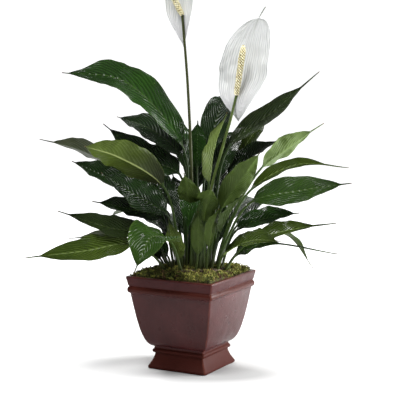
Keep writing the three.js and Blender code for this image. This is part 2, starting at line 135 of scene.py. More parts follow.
class Midline:
    """A smooth line through a few points, with evenly timed stretches between them."""

    STEP = 1e-4

    def __init__(self, points: list[Array]) -> None:
        """Keeps the points, with one more beyond each end.

        Args:
            points: the points the line runs through, in millimetres.
        """
        first = 2 * points[0] - points[1]
        last = 2 * points[-1] - points[-2]
        self.points = [first, *points, last]
        self.spans = len(points) - 1

    def at(self, share: float) -> Array:
        """Finds a point of the line.

        Args:
            share: how far along it is, counted by the line's stretches.

        Returns:
            The point.
        """
        p = min(max(share, 0.0), 1.0) * self.spans
        k = min(int(p), self.spans - 1)
        t = p - k
        p0, p1, p2, p3 = self.points[k : k + 4]
        d0, d1, d2 = (max(np.linalg.norm(b - a), 1e-8) ** 0.5 for a, b in ((p0, p1), (p1, p2), (p2, p3)))
        t1 = ((p1 - p0) / d0 - (p2 - p0) / (d0 + d1) + (p2 - p1) / d1) * d1
        t2 = ((p2 - p1) / d1 - (p3 - p1) / (d1 + d2) + (p3 - p2) / d2) * d1
        c2 = -3 * p1 + 3 * p2 - 2 * t1 - t2
        c3 = 2 * p1 - 2 * p2 + t1 + t2
        return p1 + t1 * t + c2 * t * t + c3 * t ** 3

    def sample(self, shares: Array) -> tuple[Array, Array]:
        """Follows the line.

        Args:
            shares: the shares of the line to stop at.

        Returns:
            The points and the forward directions there.
        """
        places = np.array([self.at(s) for s in shares])
        ahead = np.array([self.at(min(1.0, s + self.STEP)) for s in shares])
        behind = np.array([self.at(max(0.0, s - self.STEP)) for s in shares])
        return places, unit(ahead - behind)


# Mesh building


def only(piece: Piece) -> None:
    """Makes a piece the one selected and active object.

    Args:
        piece: the piece.
    """
    bpy.ops.object.select_all(action="DESELECT")
    piece.select_set(True)
    bpy.context.view_layer.objects.active = piece


@contextmanager
def editing(piece: Piece) -> Iterator[None]:
    """Opens a piece in edit mode with all of it selected, and closes it afterwards.

    Args:
        piece: the piece to work on.

    Yields:
        Nothing; the piece stays open until the block ends.
    """
    only(piece)
    bpy.ops.object.mode_set(mode="EDIT")
    bpy.ops.mesh.select_all(action="SELECT")
    yield
    bpy.ops.object.mode_set(mode="OBJECT")


def face_outwards() -> None:
    """Points the faces of the piece in edit mode outwards."""
    bpy.ops.mesh.select_all(action="SELECT")
    bpy.ops.mesh.normals_make_consistent(inside=False)


def apply_modifier(piece: Piece, kind: str, **settings: float | int | str | bool) -> None:
    """Adds a modifier to a piece and applies it.

    Args:
        piece: the piece to change.
        kind: the modifier's type.
        settings: its settings by name.
    """
    only(piece)
    modifier = piece.modifiers.new(kind.lower(), kind)
    for key, value in settings.items():
        setattr(modifier, key, value)
    bpy.ops.object.modifier_apply(modifier=modifier.name)


def points_of(piece: Piece) -> Array:
    """Reads the places of a piece's vertices.

    Args:
        piece: the piece.

    Returns:
        One point for each vertex, in metres.
    """
    flat = np.zeros(len(piece.data.vertices) * 3)
    piece.data.vertices.foreach_get("co", flat)
    return flat.reshape(-1, 3)


def lay_uv(piece: Piece, plan: Array) -> None:
    """Writes a UV map from one pair of numbers for each vertex.

    Args:
        piece: the piece that carries the map.
        plan: vertex by vertex, how far along and how far across.
    """
    loops = np.zeros(len(piece.data.loops), int)
    piece.data.loops.foreach_get("vertex_index", loops)
    piece.data.uv_layers[0].data.foreach_set("uv", plan[loops].ravel())


def shaped_grid(name: str, rows: int, columns: int, surface: Array) -> tuple[Piece, Array]:
    """Adds a grid and lays its points on a surface.

    Args:
        name: the piece's name.
        rows: points along the surface.
        columns: points across it.
        surface: rows by columns points, in millimetres.

    Returns:
        The grid's object, and for each vertex its number when counted row by row.
    """
    bpy.ops.object.select_all(action="DESELECT")
    bpy.ops.mesh.primitive_grid_add(x_subdivisions=rows - 1, y_subdivisions=columns - 1, size=2)
    piece = bpy.context.active_object
    piece.name = piece.data.name = name
    flat = points_of(piece)
    row = np.rint((flat[:, 0] + 1) / 2 * (rows - 1)).astype(int)
    column = np.rint((flat[:, 1] + 1) / 2 * (columns - 1)).astype(int)
    placed = surface[row, column] * MM
    piece.data.vertices.foreach_set("co", placed.ravel())
    lay_uv(piece, np.stack([row / (rows - 1), column / (columns - 1)], axis=1))
    piece.data.update()
    return piece, row * columns + column


def close_tube(piece: Piece) -> None:
    """Joins a rolled-up grid along its seam, closes its two ends and points its faces outwards.

    Args:
        piece: the grid.
    """
    with editing(piece):
        bpy.ops.mesh.remove_doubles(threshold=WELD)
        bpy.ops.mesh.select_all(action="SELECT")
        bpy.ops.mesh.fill_holes(sides=0)
        face_outwards()


def rolled_tube(name: str, centre: Array, radius: Array, side: Array, other: Array) -> Piece:
    """Rolls a closed tube round a line.

    Args:
        name: the piece's name.
        centre: the line's points, in millimetres.
        radius: the tube's radius at each of them.
        side: a direction square to the line, one for each point or one for all.
        other: the direction square to both, likewise.

    Returns:
        The tube.
    """
    turn = np.linspace(0, 2 * math.pi, TUBE_SIDES + 1)[None, :, None]
    spokes = np.atleast_2d(side)[:, None] * np.cos(turn) + np.atleast_2d(other)[:, None] * np.sin(turn)
    ring = centre[:, None] + radius[:, None, None] * spokes
    tube, _ = shaped_grid(name, *ring.shape[:2], ring)
    close_tube(tube)
    return tube


def smooth(piece: Piece, degrees: float) -> None:
    """Shades a piece smooth, but for edges sharper than an angle."""
    only(piece)
    bpy.ops.object.shade_smooth_by_angle(angle=math.radians(degrees))


def scattered(name: str, shape: Piece, turns: Array, places: Array) -> Piece:
    """Repeats one small shape many times in a single mesh, and removes the first.

    Args:
        name: the new piece's name.
        shape: the shape to repeat.
        turns: one 3 by 3 matrix of turn and size for each copy.
        places: one point in metres for each copy.

    Returns:
        The piece that holds all the copies.
    """
    count = len(shape.data.vertices)
    points = np.einsum("nij,vj->nvi", turns, points_of(shape)) + places[:, None, :]
    faces = [tuple(p.vertices) for p in shape.data.polygons]
    every = [tuple(k * count + v for v in face) for k in range(len(places)) for face in faces]
    mesh = bpy.data.meshes.new(name)
    mesh.from_pydata(points.reshape(-1, 3).tolist(), [], every)
    mesh.update()
    piece = bpy.data.objects.new(name, mesh)
    bpy.context.scene.collection.objects.link(piece)
    bpy.data.objects.remove(shape)
    return piece


def keep(piece: Piece, materials: list[Material], node: str) -> None:
    """Colours a finished piece and lets it ride on the pot's body in place of its node.

    Args:
        piece: the finished piece.
        materials: its materials, in the order that its faces number them.
        node: the frame's node that it stands for.
    """
    for material in materials:
        piece.data.materials.append(material)
    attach(piece, "root")
    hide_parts(node)


# Finishes


class Graph:
    """A material under construction, with short ways to add its nodes."""

    def __init__(self, name: str) -> None:
        """Starts a material with its shader and output.

        Args:
            name: the material's name.
        """
        self.material = bpy.data.materials.new(name)
        self.material.use_nodes = True
        self.tree = self.material.node_tree
        self.shader = next(n for n in self.tree.nodes if n.type == "BSDF_PRINCIPLED")

    def feed(self, socket: Socket, value: object) -> None:
        """Gives an input its value.

        Args:
            socket: the input.
            value: a socket to link, a number, a vector or a colour; None leaves the input alone.
        """
        if isinstance(value, Socket):
            self.tree.links.new(value, socket)
        elif value is not None:
            coloured = socket.type == "RGBA" and len(value) == 3
            socket.default_value = (*value, 1) if coloured else value

    def node(self, kind: str, *inputs: object, **settings: object) -> bpy.types.Node:
        """Adds a node.

        Args:
            kind: the node's class name without its ShaderNode prefix.
            inputs: what feeds its inputs, in order.
            settings: its properties by name.

        Returns:
            The new node.
        """
        made = self.tree.nodes.new("ShaderNode" + kind)
        for key, value in settings.items():
            setattr(made, key, value)
        for socket, value in zip(made.inputs, inputs):
            self.feed(socket, value)
        return made

    def coords(self, kind: str) -> Socket:
        """Returns the Object or UV coordinates."""
        return self.node("TexCoord").outputs[kind]

    def split(self, vector: Socket) -> list[Socket]:
        """Returns the three parts of a vector."""
        return list(self.node("SeparateXYZ", vector).outputs)

    def math(self, operation: str, *values: object, clamp: bool = False) -> Socket:
        """Returns the result of a sum or function of one to three values."""
        return self.node("Math", *values, operation=operation, use_clamp=clamp).outputs[0]

    def times(self, a: object, b: object) -> Socket:
        """Returns the product of two values."""
        return self.math("MULTIPLY", a, b)

    def rise(self, value: Socket, start: float, slope: float) -> Socket:
        """Returns 0 up to the start, then a ramp of that slope up to 1."""
        return self.math("MULTIPLY", self.math("SUBTRACT", value, start, clamp=True), slope, clamp=True)

    def fall(self, value: Socket, end: float, slope: float) -> Socket:
        """Returns a ramp of that slope down from 1, and 0 from the end on."""
        return self.math("MULTIPLY", self.math("SUBTRACT", end, value, clamp=True), slope, clamp=True)

    def fit(self, value: Socket, gain: float, lift: float) -> Socket:
        """Returns a value times a gain, plus a lift, held between 0 and 1."""
        return self.math("MULTIPLY_ADD", value, gain, lift, clamp=True)

    def noise(self, vector: Socket, scale: float, detail: float = 3.0) -> Socket:
        """Returns a cloudy pattern of that many patches to the metre."""
        return self.node("TexNoise", vector, None, scale, detail).outputs[0]

    def streaks(self, place: Socket, around: float, upward: float, detail: float) -> Socket:
        """Returns a cloudy pattern with its own number of patches to the metre around and upward."""
        stretched = self.node("Mapping", place, (0, 0, 0), (0, 0, 0), (around, around, upward)).outputs[0]
        return self.noise(stretched, 1.0, detail)

    def ramp(self, value: Socket, *stops: tuple[float, Colour]) -> Socket:
        """Picks colours by a value.

        Args:
            value: what picks the colour.
            stops: places and colours, in rising order.

        Returns:
            The colour's socket.
        """
        made = self.node("ValToRGB", value)
        ramp = made.color_ramp
        while len(ramp.elements) < len(stops):
            ramp.elements.new(0.5)
        for element, (place, colour) in zip(ramp.elements, stops):
            element.position = place
            element.color = (*colour, 1)
        return made.outputs[0]

    def mix(self, share: object, a: object, b: object) -> Socket:
        """Blends two colours.

        Args:
            share: how much of the second shows.
            a: the first colour.
            b: the second colour.

        Returns:
            The blend's socket.
        """
        made = self.node("Mix", data_type="RGBA")
        for index, value in ((0, share), (6, a), (7, b)):
            self.feed(made.inputs[index], value)
        return made.outputs[2]

    def bump(self, height: Socket, distance: float, under: Socket | None = None) -> Socket:
        """Turns a height into a bumped normal.

        Args:
            height: the height, from 0 to 1.
            distance: metres that a height of 1 stands for.
            under: a coarser bump that this one lies on.

        Returns:
            The normal's socket.
        """
        made = self.node("Bump")
        inputs = {"Strength": 1.0, "Distance": distance, "Height": height, "Normal": under}
        for key, value in inputs.items():
            self.feed(made.inputs[key], value)
        return made.outputs[0]

    def finish(self, colour: Socket, rough: object, normal: Socket, **plain: float) -> Material:
        """Connects the surface.

        Args:
            colour: the base colour.
            rough: the roughness, a socket or a number.
            normal: the bumped normal.
            plain: other inputs of the shader that are the same all over.

        Returns:
            The finished material.
        """
        for key, value in (("Base Color", colour), ("Roughness", rough), ("Normal", normal)):
            self.feed(self.shader.inputs[key], value)
        for key, value in plain.items():
            self.shader.inputs[key.replace("_", " ")].default_value = value
        return self.material


class Tone(Enum):
    """How light a leaf is: partly its own green and partly painted light and shade."""

    DARK = "dark"
    DEEP = "deep"
    MID = "mid"
    OLIVE = "olive"
    LIGHT = "light"
    GREY = "grey"


@dataclass(frozen=True)
class LeafFinish:
    """The two faces of a blade: veins that arch from a pale midrib, and a dry brown tip.

    Veins, sweep, depth and relief say how many grooves there are, how far they lean towards the tip, how
    dark they are and how many metres deep. Inner says how fast the blade darkens towards its base.
    """

    tone: Tone
    low: Colour
    high: Colour
    rib: Colour
    under_low: Colour
    under_high: Colour
    veins: float = 17.0
    sweep: float = 0.34
    gloss: float = 0.17
    rib_strength: float = 0.32
    shine: float = 0.2
    depth: float = 0.2
    relief: float = 0.0021
    inner: float = 0.0
    under_shine: float = 0.15
    under_depth: float = 0.05
    midrib: float = 0.07
    margin: float = 0.93
    dry: float = 0.965
    withered: Colour = (0.11, 0.065, 0.03)

    def face(self, under: bool) -> Material:
        """Makes one face's material.

        Args:
            under: whether it is the underside.

        Returns:
            The material.
        """
        g = Graph(f"leaf_{self.tone.value}_{'under' if under else 'upper'}")
        along, across, _ = g.split(g.coords("UV"))
        place = g.coords("Object")
        out = g.math("ABSOLUTE", g.math("MULTIPLY_ADD", across, 2.0, -1.0))
        swept = g.times(g.math("POWER", out, 1.25), self.sweep)
        wander = g.times(g.noise(place, 60.0, 1.0), 0.03)
        drawn = g.math("ADD", g.math("SUBTRACT", along, swept), wander)
        phase = g.times(drawn, self.veins * math.pi)
        groove = g.math("POWER", g.math("ABSOLUTE", g.math("SINE", phase)), 0.7)
        fine = g.math("ABSOLUTE", g.math("SINE", g.times(phase, 3.0)))
        low, high = (self.under_low, self.under_high) if under else (self.low, self.high)
        cloud = g.fit(g.noise(place, 26.0, 4.0), 1.8, -0.4)
        deep = tuple(0.25 * c for c in low)
        body = g.mix(g.fall(along, 0.62, self.inner), g.mix(cloud, low, high), deep)
        depth = self.under_depth if under else self.depth
        # On the upper face this is painted shade in the vein grooves; on the underside the veins take the
        # paler rib colour.
        shade = g.math("MULTIPLY_ADD", groove, depth, 1 - depth)
        veined = g.mix(shade, self.rib if under else tuple(0.5 * c for c in low), body)
        midrib = g.fall(out, self.midrib, 1 / self.midrib)
        lined = g.mix(g.times(midrib, self.rib_strength), veined, self.rib)
        rimmed = g.mix(g.rise(out, self.margin, 6.0), lined, self.under_high)
        colour = g.mix(g.rise(along, self.dry, 30.0), rimmed, self.withered)
        ribs = g.bump(groove, -0.4 * self.relief if under else self.relief)
        fine_ribs = g.bump(fine, 0.00002, ribs)
        skin = g.bump(g.noise(place, 500.0, 1.0), 0.00002, fine_ribs)
        rough = g.math("MULTIPLY_ADD", g.noise(place, 45.0), 0.08, self.gloss + (0.2 if under else 0.0))
        return g.finish(colour, rough, skin, Specular_IOR_Level=self.under_shine if under else self.shine)


@dataclass(frozen=True)
class StalkFinish:
    """The green of petioles and flower stalks, with faint streaks along them and brown towards the moss."""

    name: str
    low: Colour
    high: Colour
    earth: Colour = (0.06, 0.055, 0.018)
    brown_below: float = 0.19
    brown_reach: float = 0.045

    def make(self) -> Material:
        """Makes the material.

        Returns:
            The material.
        """
        g = Graph(self.name)
        place = g.coords("Object")
        streaks = g.streaks(place, around=900.0, upward=22.0, detail=2.0)
        body = g.mix(g.fit(streaks, 1.6, -0.3), self.low, self.high)
        foot = g.fall(g.split(place)[2], self.brown_below, 1 / self.brown_reach)
        colour = g.mix(g.times(foot, 0.5), body, self.earth)
        return g.finish(colour, 0.38, g.bump(streaks, 0.0003), Specular_IOR_Level=0.16)


@dataclass(frozen=True)
class GlazeFinish:
    """The pot's red-brown glaze: cloudy on the walls, redder on neck bead and foot, worn on its edges.

    Heights are in metres. The foot is duller than the walls, and the neck bead and the rim are a little so.
    """

    wall: Colour = (0.024, 0.005, 0.005)
    wall_light: Colour = (0.056, 0.014, 0.014)
    bead: Colour = (0.042, 0.008, 0.0045)
    worn: Colour = (0.2, 0.06, 0.034)
    speck: Colour = (0.03, 0.012, 0.012)
    foot_top: float = 0.0335
    rim_low: float = 0.1195
    bead_low: float = 0.1215
    bead_high: float = 0.1315
    lip: float = 0.1446
    edge: float = 0.0022
    sharp: float = 700.0
    bead_sharp: float = 900.0
    plain_shine: float = 0.13

    def make(self) -> Material:
        """Makes the material.

        Returns:
            The material.
        """
        g = Graph("pot_glaze")
        place = g.coords("Object")
        x, y, z = g.split(place)
        cloud = g.noise(place, 22.0, 5.0)
        wall = g.mix(g.fit(cloud, 2.0, -0.5), self.wall, self.wall_light)
        runs = g.streaks(place, around=260.0, upward=18.0, detail=3.0)
        wall = g.mix(g.fit(runs, 0.7, -0.2), wall, self.wall_light)
        above = g.rise(z, self.bead_low, self.bead_sharp)
        below = g.fall(z, self.bead_high, self.bead_sharp)
        foot = g.fall(z, self.foot_top, self.sharp)
        red = g.math("MAXIMUM", g.times(above, below), foot)
        body = g.mix(g.times(red, 0.8), wall, self.bead)
        apart = g.math("ABSOLUTE", g.math("SUBTRACT", g.math("ABSOLUTE", x), g.math("ABSOLUTE", y)))
        edges = g.math("MAXIMUM", g.fall(apart, self.edge, 1 / self.edge), g.rise(z, self.lip, self.sharp))
        wear = g.times(edges, g.fit(g.noise(place, 120.0, 4.0), 2.4, -0.75))
        colour = g.mix(g.times(wear, 0.45), body, self.worn)
        colour = g.mix(g.rise(g.noise(place, 700.0, 2.0), 0.62, 5.0), colour, self.speck)
        grain = g.bump(g.noise(place, 520.0), 0.00022, g.bump(cloud, 0.0012))
        dull = g.math("MULTIPLY_ADD", foot, 0.2, 0.17)
        rough = g.math("MULTIPLY_ADD", g.noise(place, 60.0, 4.0), 0.3, dull)
        rim = g.rise(z, self.rim_low, self.sharp)
        shine = g.math("MULTIPLY_ADD", rim, -0.07, g.math("MULTIPLY_ADD", foot, -0.1, 0.16))
        g.feed(g.shader.inputs["Specular IOR Level"], shine)
        return g.finish(colour, rough, grain, Specular_IOR_Level=self.plain_shine)


@dataclass(frozen=True)
class EarthFinish:
    """Potting soil or moss: a crumbly ground of three colours, from crevice to crumb, with stray bits."""

    name: str
    deep: Colour
    middle: Colour
    light: Colour
    stray: Colour
    patches: float
    grain: float

    def make(self) -> Material:
        """Makes the material.

        Returns:
            The material.
        """
        g = Graph(self.name)
        place = g.coords("Object")
        crumb = g.noise(place, self.grain, 4.0)
        patch = g.times(g.noise(place, self.patches), 0.45)
        both = g.math("MULTIPLY_ADD", crumb, 0.65, patch)
        ground = g.ramp(both, (0.42, self.deep), (0.54, self.middle), (0.66, self.light))
        colour = g.mix(g.rise(g.noise(place, 95.0, 2.0), 0.54, 9.0), ground, self.stray)
        return g.finish(colour, 0.9, g.bump(crumb, 0.0016), Specular_IOR_Level=0.2)


@dataclass(frozen=True)
class SpatheFinish:
    """The white sheet of a bloom, ribbed from base to point.

    It is grey in the furrows and in the fold towards the tip, and a little green at the base. Its lower third
    has painted light that brightens it.
    """

    white: Colour = (0.64, 0.65, 0.64)
    furrow: Colour = (0.33, 0.35, 0.36)
    fold: Colour = (0.22, 0.24, 0.2)
    green: Colour = (0.35, 0.42, 0.2)
    painted_light: Colour = (0.88, 0.87, 0.9)
    ribs: float = 11.0

    def make(self) -> Material:
        """Makes the material.

        Returns:
            The material.
        """
        g = Graph("spathe_white")
        along, across, _ = g.split(g.coords("UV"))
        place = g.coords("Object")
        wander = g.times(g.noise(place, 40.0, 1.0), 0.05)
        turn = g.times(g.math("ADD", across, wander), 2 * self.ribs * math.pi)
        rib = g.math("POWER", g.math("ABSOLUTE", g.math("SINE", turn)), 0.45)
        cloud = g.fit(g.noise(place, 30.0), 1.4, 0.1)
        body = g.mix(g.times(g.math("SUBTRACT", 1.0, rib), cloud), self.white, self.furrow)
        centre = g.math("ABSOLUTE", g.math("SUBTRACT", across, 0.5))
        fold = g.times(g.fall(centre, 0.05, 20.0), g.rise(along, 0.72, 5.0))
        tip = g.rise(along, 0.9, 22.0)
        folded = g.mix(g.math("MAXIMUM", g.times(fold, 0.8), tip), body, self.fold)
        # Painted light: the lower third is lightened as though more light fell on it.
        painted_light = g.mix(g.times(g.fall(along, 0.34, 3.2), 0.7), folded, self.painted_light)
        colour = g.mix(g.times(g.fall(along, 0.1, 5.0), 0.2), painted_light, self.green)
        return g.finish(colour, 0.48, g.bump(g.noise(place, 500.0, 2.0), 0.0001, g.bump(rib, 0.0007)))


@dataclass(frozen=True)
class SpadixFinish:
    """The spike's florets, straw yellow to cream with dark specks, and brown at the seams between them."""

    straw: Colour = (0.5, 0.41, 0.18)
    yellow: Colour = (0.85, 0.76, 0.42)
    cream: Colour = (0.92, 0.88, 0.64)
    speck: Colour = (0.09, 0.06, 0.03)
    seam: Colour = (0.1, 0.075, 0.03)

    def make(self) -> Material:
        """Makes the material.

        Returns:
            The material.
        """
        g = Graph("spadix_cream")
        place = g.coords("Object")
        grain = g.noise(place, 420.0, 2.0)
        body = g.ramp(grain, (0.34, self.straw), (0.47, self.yellow), (0.6, self.cream))
        specked = g.mix(g.rise(g.noise(place, 650.0, 1.0), 0.63, 8.0), body, self.speck)
        colour = g.mix(g.split(g.coords("UV"))[0], self.seam, specked)
        return g.finish(colour, 0.65, g.bump(g.noise(place, 2200.0, 2.0), 0.0003))


# Lit and shaded copies of one leaf finish: each tone is partly the leaf's own green and partly painted light
# and shade.
LEAF_FINISHES = (
    LeafFinish(Tone.DARK, (0.004, 0.011, 0.002), (0.011, 0.03, 0.005), (0.06, 0.09, 0.025),
               (0.016, 0.027, 0.007), (0.032, 0.05, 0.013), gloss=0.22, shine=0.27, relief=0.0013),
    LeafFinish(Tone.DEEP, (0.007, 0.021, 0.003), (0.018, 0.056, 0.006), (0.08, 0.13, 0.03),
               (0.024, 0.046, 0.009), (0.045, 0.077, 0.015), gloss=0.17, shine=0.26, rib_strength=0.22),
    LeafFinish(Tone.MID, (0.013, 0.034, 0.004), (0.032, 0.074, 0.008), (0.14, 0.21, 0.05),
               (0.037, 0.064, 0.01), (0.067, 0.105, 0.02), gloss=0.2, shine=0.22, depth=0.12,
               relief=0.001, rib_strength=0.2),
    LeafFinish(Tone.OLIVE, (0.018, 0.035, 0.002), (0.056, 0.091, 0.006), (0.3, 0.35, 0.13),
               (0.032, 0.05, 0.004), (0.064, 0.1, 0.008), rib_strength=0.9, gloss=0.24, shine=0.13,
               depth=0.13, relief=0.0009, inner=2.1),
    LeafFinish(Tone.LIGHT, (0.03, 0.055, 0.007), (0.07, 0.108, 0.015), (0.24, 0.32, 0.1),
               (0.05, 0.078, 0.012), (0.088, 0.125, 0.023), rib_strength=0.6, gloss=0.2, shine=0.13),
    LeafFinish(Tone.GREY, (0.014, 0.024, 0.006), (0.028, 0.046, 0.011), (0.09, 0.12, 0.045),
               (0.021, 0.029, 0.01), (0.038, 0.048, 0.016), relief=0.0014),
)

SOIL = EarthFinish("potting_soil_crumbs", (0.012, 0.008, 0.005), (0.04, 0.026, 0.016), (0.09, 0.06, 0.035),
                   (0.16, 0.13, 0.1), 40.0, 320.0)
MOSS = EarthFinish("moss_ground", (0.008, 0.008, 0.003), (0.035, 0.036, 0.008), (0.12, 0.11, 0.025),
                   (0.045, 0.026, 0.012), 42.0, 480.0)
SPRIG = EarthFinish("moss_sprigs", (0.022, 0.027, 0.006), (0.088, 0.1, 0.019), (0.29, 0.275, 0.062),
                    (0.07, 0.04, 0.016), 42.0, 260.0)
PETIOLE = StalkFinish("petiole_green", (0.017, 0.036, 0.006), (0.047, 0.08, 0.016))
# A darker copy of the petiole green: painted shade for the petioles of leaves in the shaded tones.
PETIOLE_DARK = StalkFinish("petiole_dark", (0.006, 0.014, 0.003), (0.02, 0.038, 0.008))
SCAPE = StalkFinish("scape_green", (0.035, 0.06, 0.012), (0.1, 0.14, 0.032))
SCAPE_DARK = StalkFinish("scape_dark", (0.016, 0.02, 0.006), (0.05, 0.06, 0.017))

# Pot


@dataclass(frozen=True)
class Pot:
    """The square glazed pot: spreading foot, waist bead, swelling body, neck bead and rim.

    The body is a curve through four control points, each a half width and a height.
    """

    height: float = 146.0
    rim: float = 75.0
    foot: float = 50.8
    wall: float = 6.0
    floor: float = 9.0
    well: float = 36.0
    steps: int = 24
    swell: tuple[Pair, ...] = ((44, 35), (57, 36), (63, 74), (70, 119))
    corner: float = 3.2

    def body(self, offset: float) -> list[Pair]:
        """Draws the body's curve, from its foot up.

        Args:
            offset: how far inside the outer wall it runs.

        Returns:
            Half widths and heights.
        """
        points = []
        for k in range(self.steps + 1):
            t = k / self.steps
            weights = ((1 - t) ** 3, 3 * t * (1 - t) ** 2, 3 * t * t * (1 - t), t ** 3)
            half, z = (sum(w * p[axis] for w, p in zip(weights, self.swell)) for axis in (0, 1))
            points.append((half - offset, z))
        return points

    def profile(self) -> list[Pair]:
        """Draws the whole section, from the underside's edge over the rim to the inner floor.

        Returns:
            Half widths and heights.
        """
        h, r, f, inner = self.height, self.rim, self.foot, self.rim - self.wall
        return [
            (f - 1.0, 0), (f, 1.0), (f, 3.6), (49.3, 6), (46.4, 11.2), (44.8, 15), (43.3, 19.5),
            (42.5, 23.3), (43.2, 24.3), (45.0, 25.2), (45.8, 26.6), (45.8, 28.4), (45.0, 30.0),
            (43.6, 31.3), (43.3, 33.2),
            *self.body(0),
            (70.9, 119.9), (72.6, 121.0), (73.4, 122.6), (73.7, 124.4), (73.6, 126.4), (72.9, 128.4),
            (71.8, 129.8), (71.6, 130.6), (72.5, 131.8), (74.0, 139.0), (r - 0.1, 142.6), (r, 143.4),
            (r, h - 1.2), (r - 0.3, h - 0.3), (r - 1.2, h), (inner + 1.2, h), (inner + 0.2, h - 0.4),
            (inner, h - 1.4), (68, 132),
            *((half, z + 1) for half, z in reversed(self.body(self.wall))),
            (self.well, self.floor + 30), (self.well, self.floor),
        ]

    def build(self) -> list[Piece]:
        """Raises the wall from a square, ring by ring, then rounds its corners.

        Returns:
            The pot alone.
        """
        profile = self.profile()
        half, z = profile[0]
        bpy.ops.object.select_all(action="DESELECT")
        bpy.ops.mesh.primitive_plane_add(size=2 * half * MM)
        pot = bpy.context.active_object
        pot.name = pot.data.name = "glazed_pot"
        with editing(pot):
            bpy.ops.mesh.select_mode(type="FACE")
            for wide, high in profile[1:]:
                bpy.ops.mesh.extrude_region_move(TRANSFORM_OT_translate={"value": (0, 0, (high - z) * MM)})
                scale = wide / half
                bpy.ops.transform.resize(value=(scale, scale, 1), center_override=(0, 0, high * MM))
                half, z = wide, high
            face_outwards()
        self.round_corners(pot)
        smooth(pot, 32)
        return [pot]

    def round_corners(self, pot: Piece) -> None:
        """Bevels the four upright corners, outside and in.

        Args:
            pot: the pot.
        """
        mesh = pot.data
        marks = mesh.attributes.new("bevel_weight_edge", "FLOAT", "EDGE")
        for edge in mesh.edges:
            a, b = (mesh.vertices[v].co for v in edge.vertices)
            upright = a.x * b.x > 0 and a.y * b.y > 0
            diagonal = all(abs(abs(end.x) - abs(end.y)) < WELD for end in (a, b))
            marks.data[edge.index].value = float(upright and diagonal)
        apply_modifier(pot, "BEVEL", width=self.corner * MM, segments=4, limit_method="WEIGHT",
                       use_clamp_overlap=True)

    def dress(self, pieces: list[Piece]) -> None:
        """Glazes the pot."""
        keep(pieces[0], [GlazeFinish().make()], "pot")


# Soil and moss


@dataclass(frozen=True)
class Soil:
    """The potting soil, which keeps its solid from the frame."""

    node: str = "soil"

    def build(self) -> list[Piece]:
        """Returns the soil as the frame holds it."""
        return [bpy.data.objects[self.node]]

    def dress(self, pieces: list[Piece]) -> None:
        """Gives the soil its crumbs."""
        pieces[0].data.materials.clear()
        pieces[0].data.materials.append(SOIL.make())


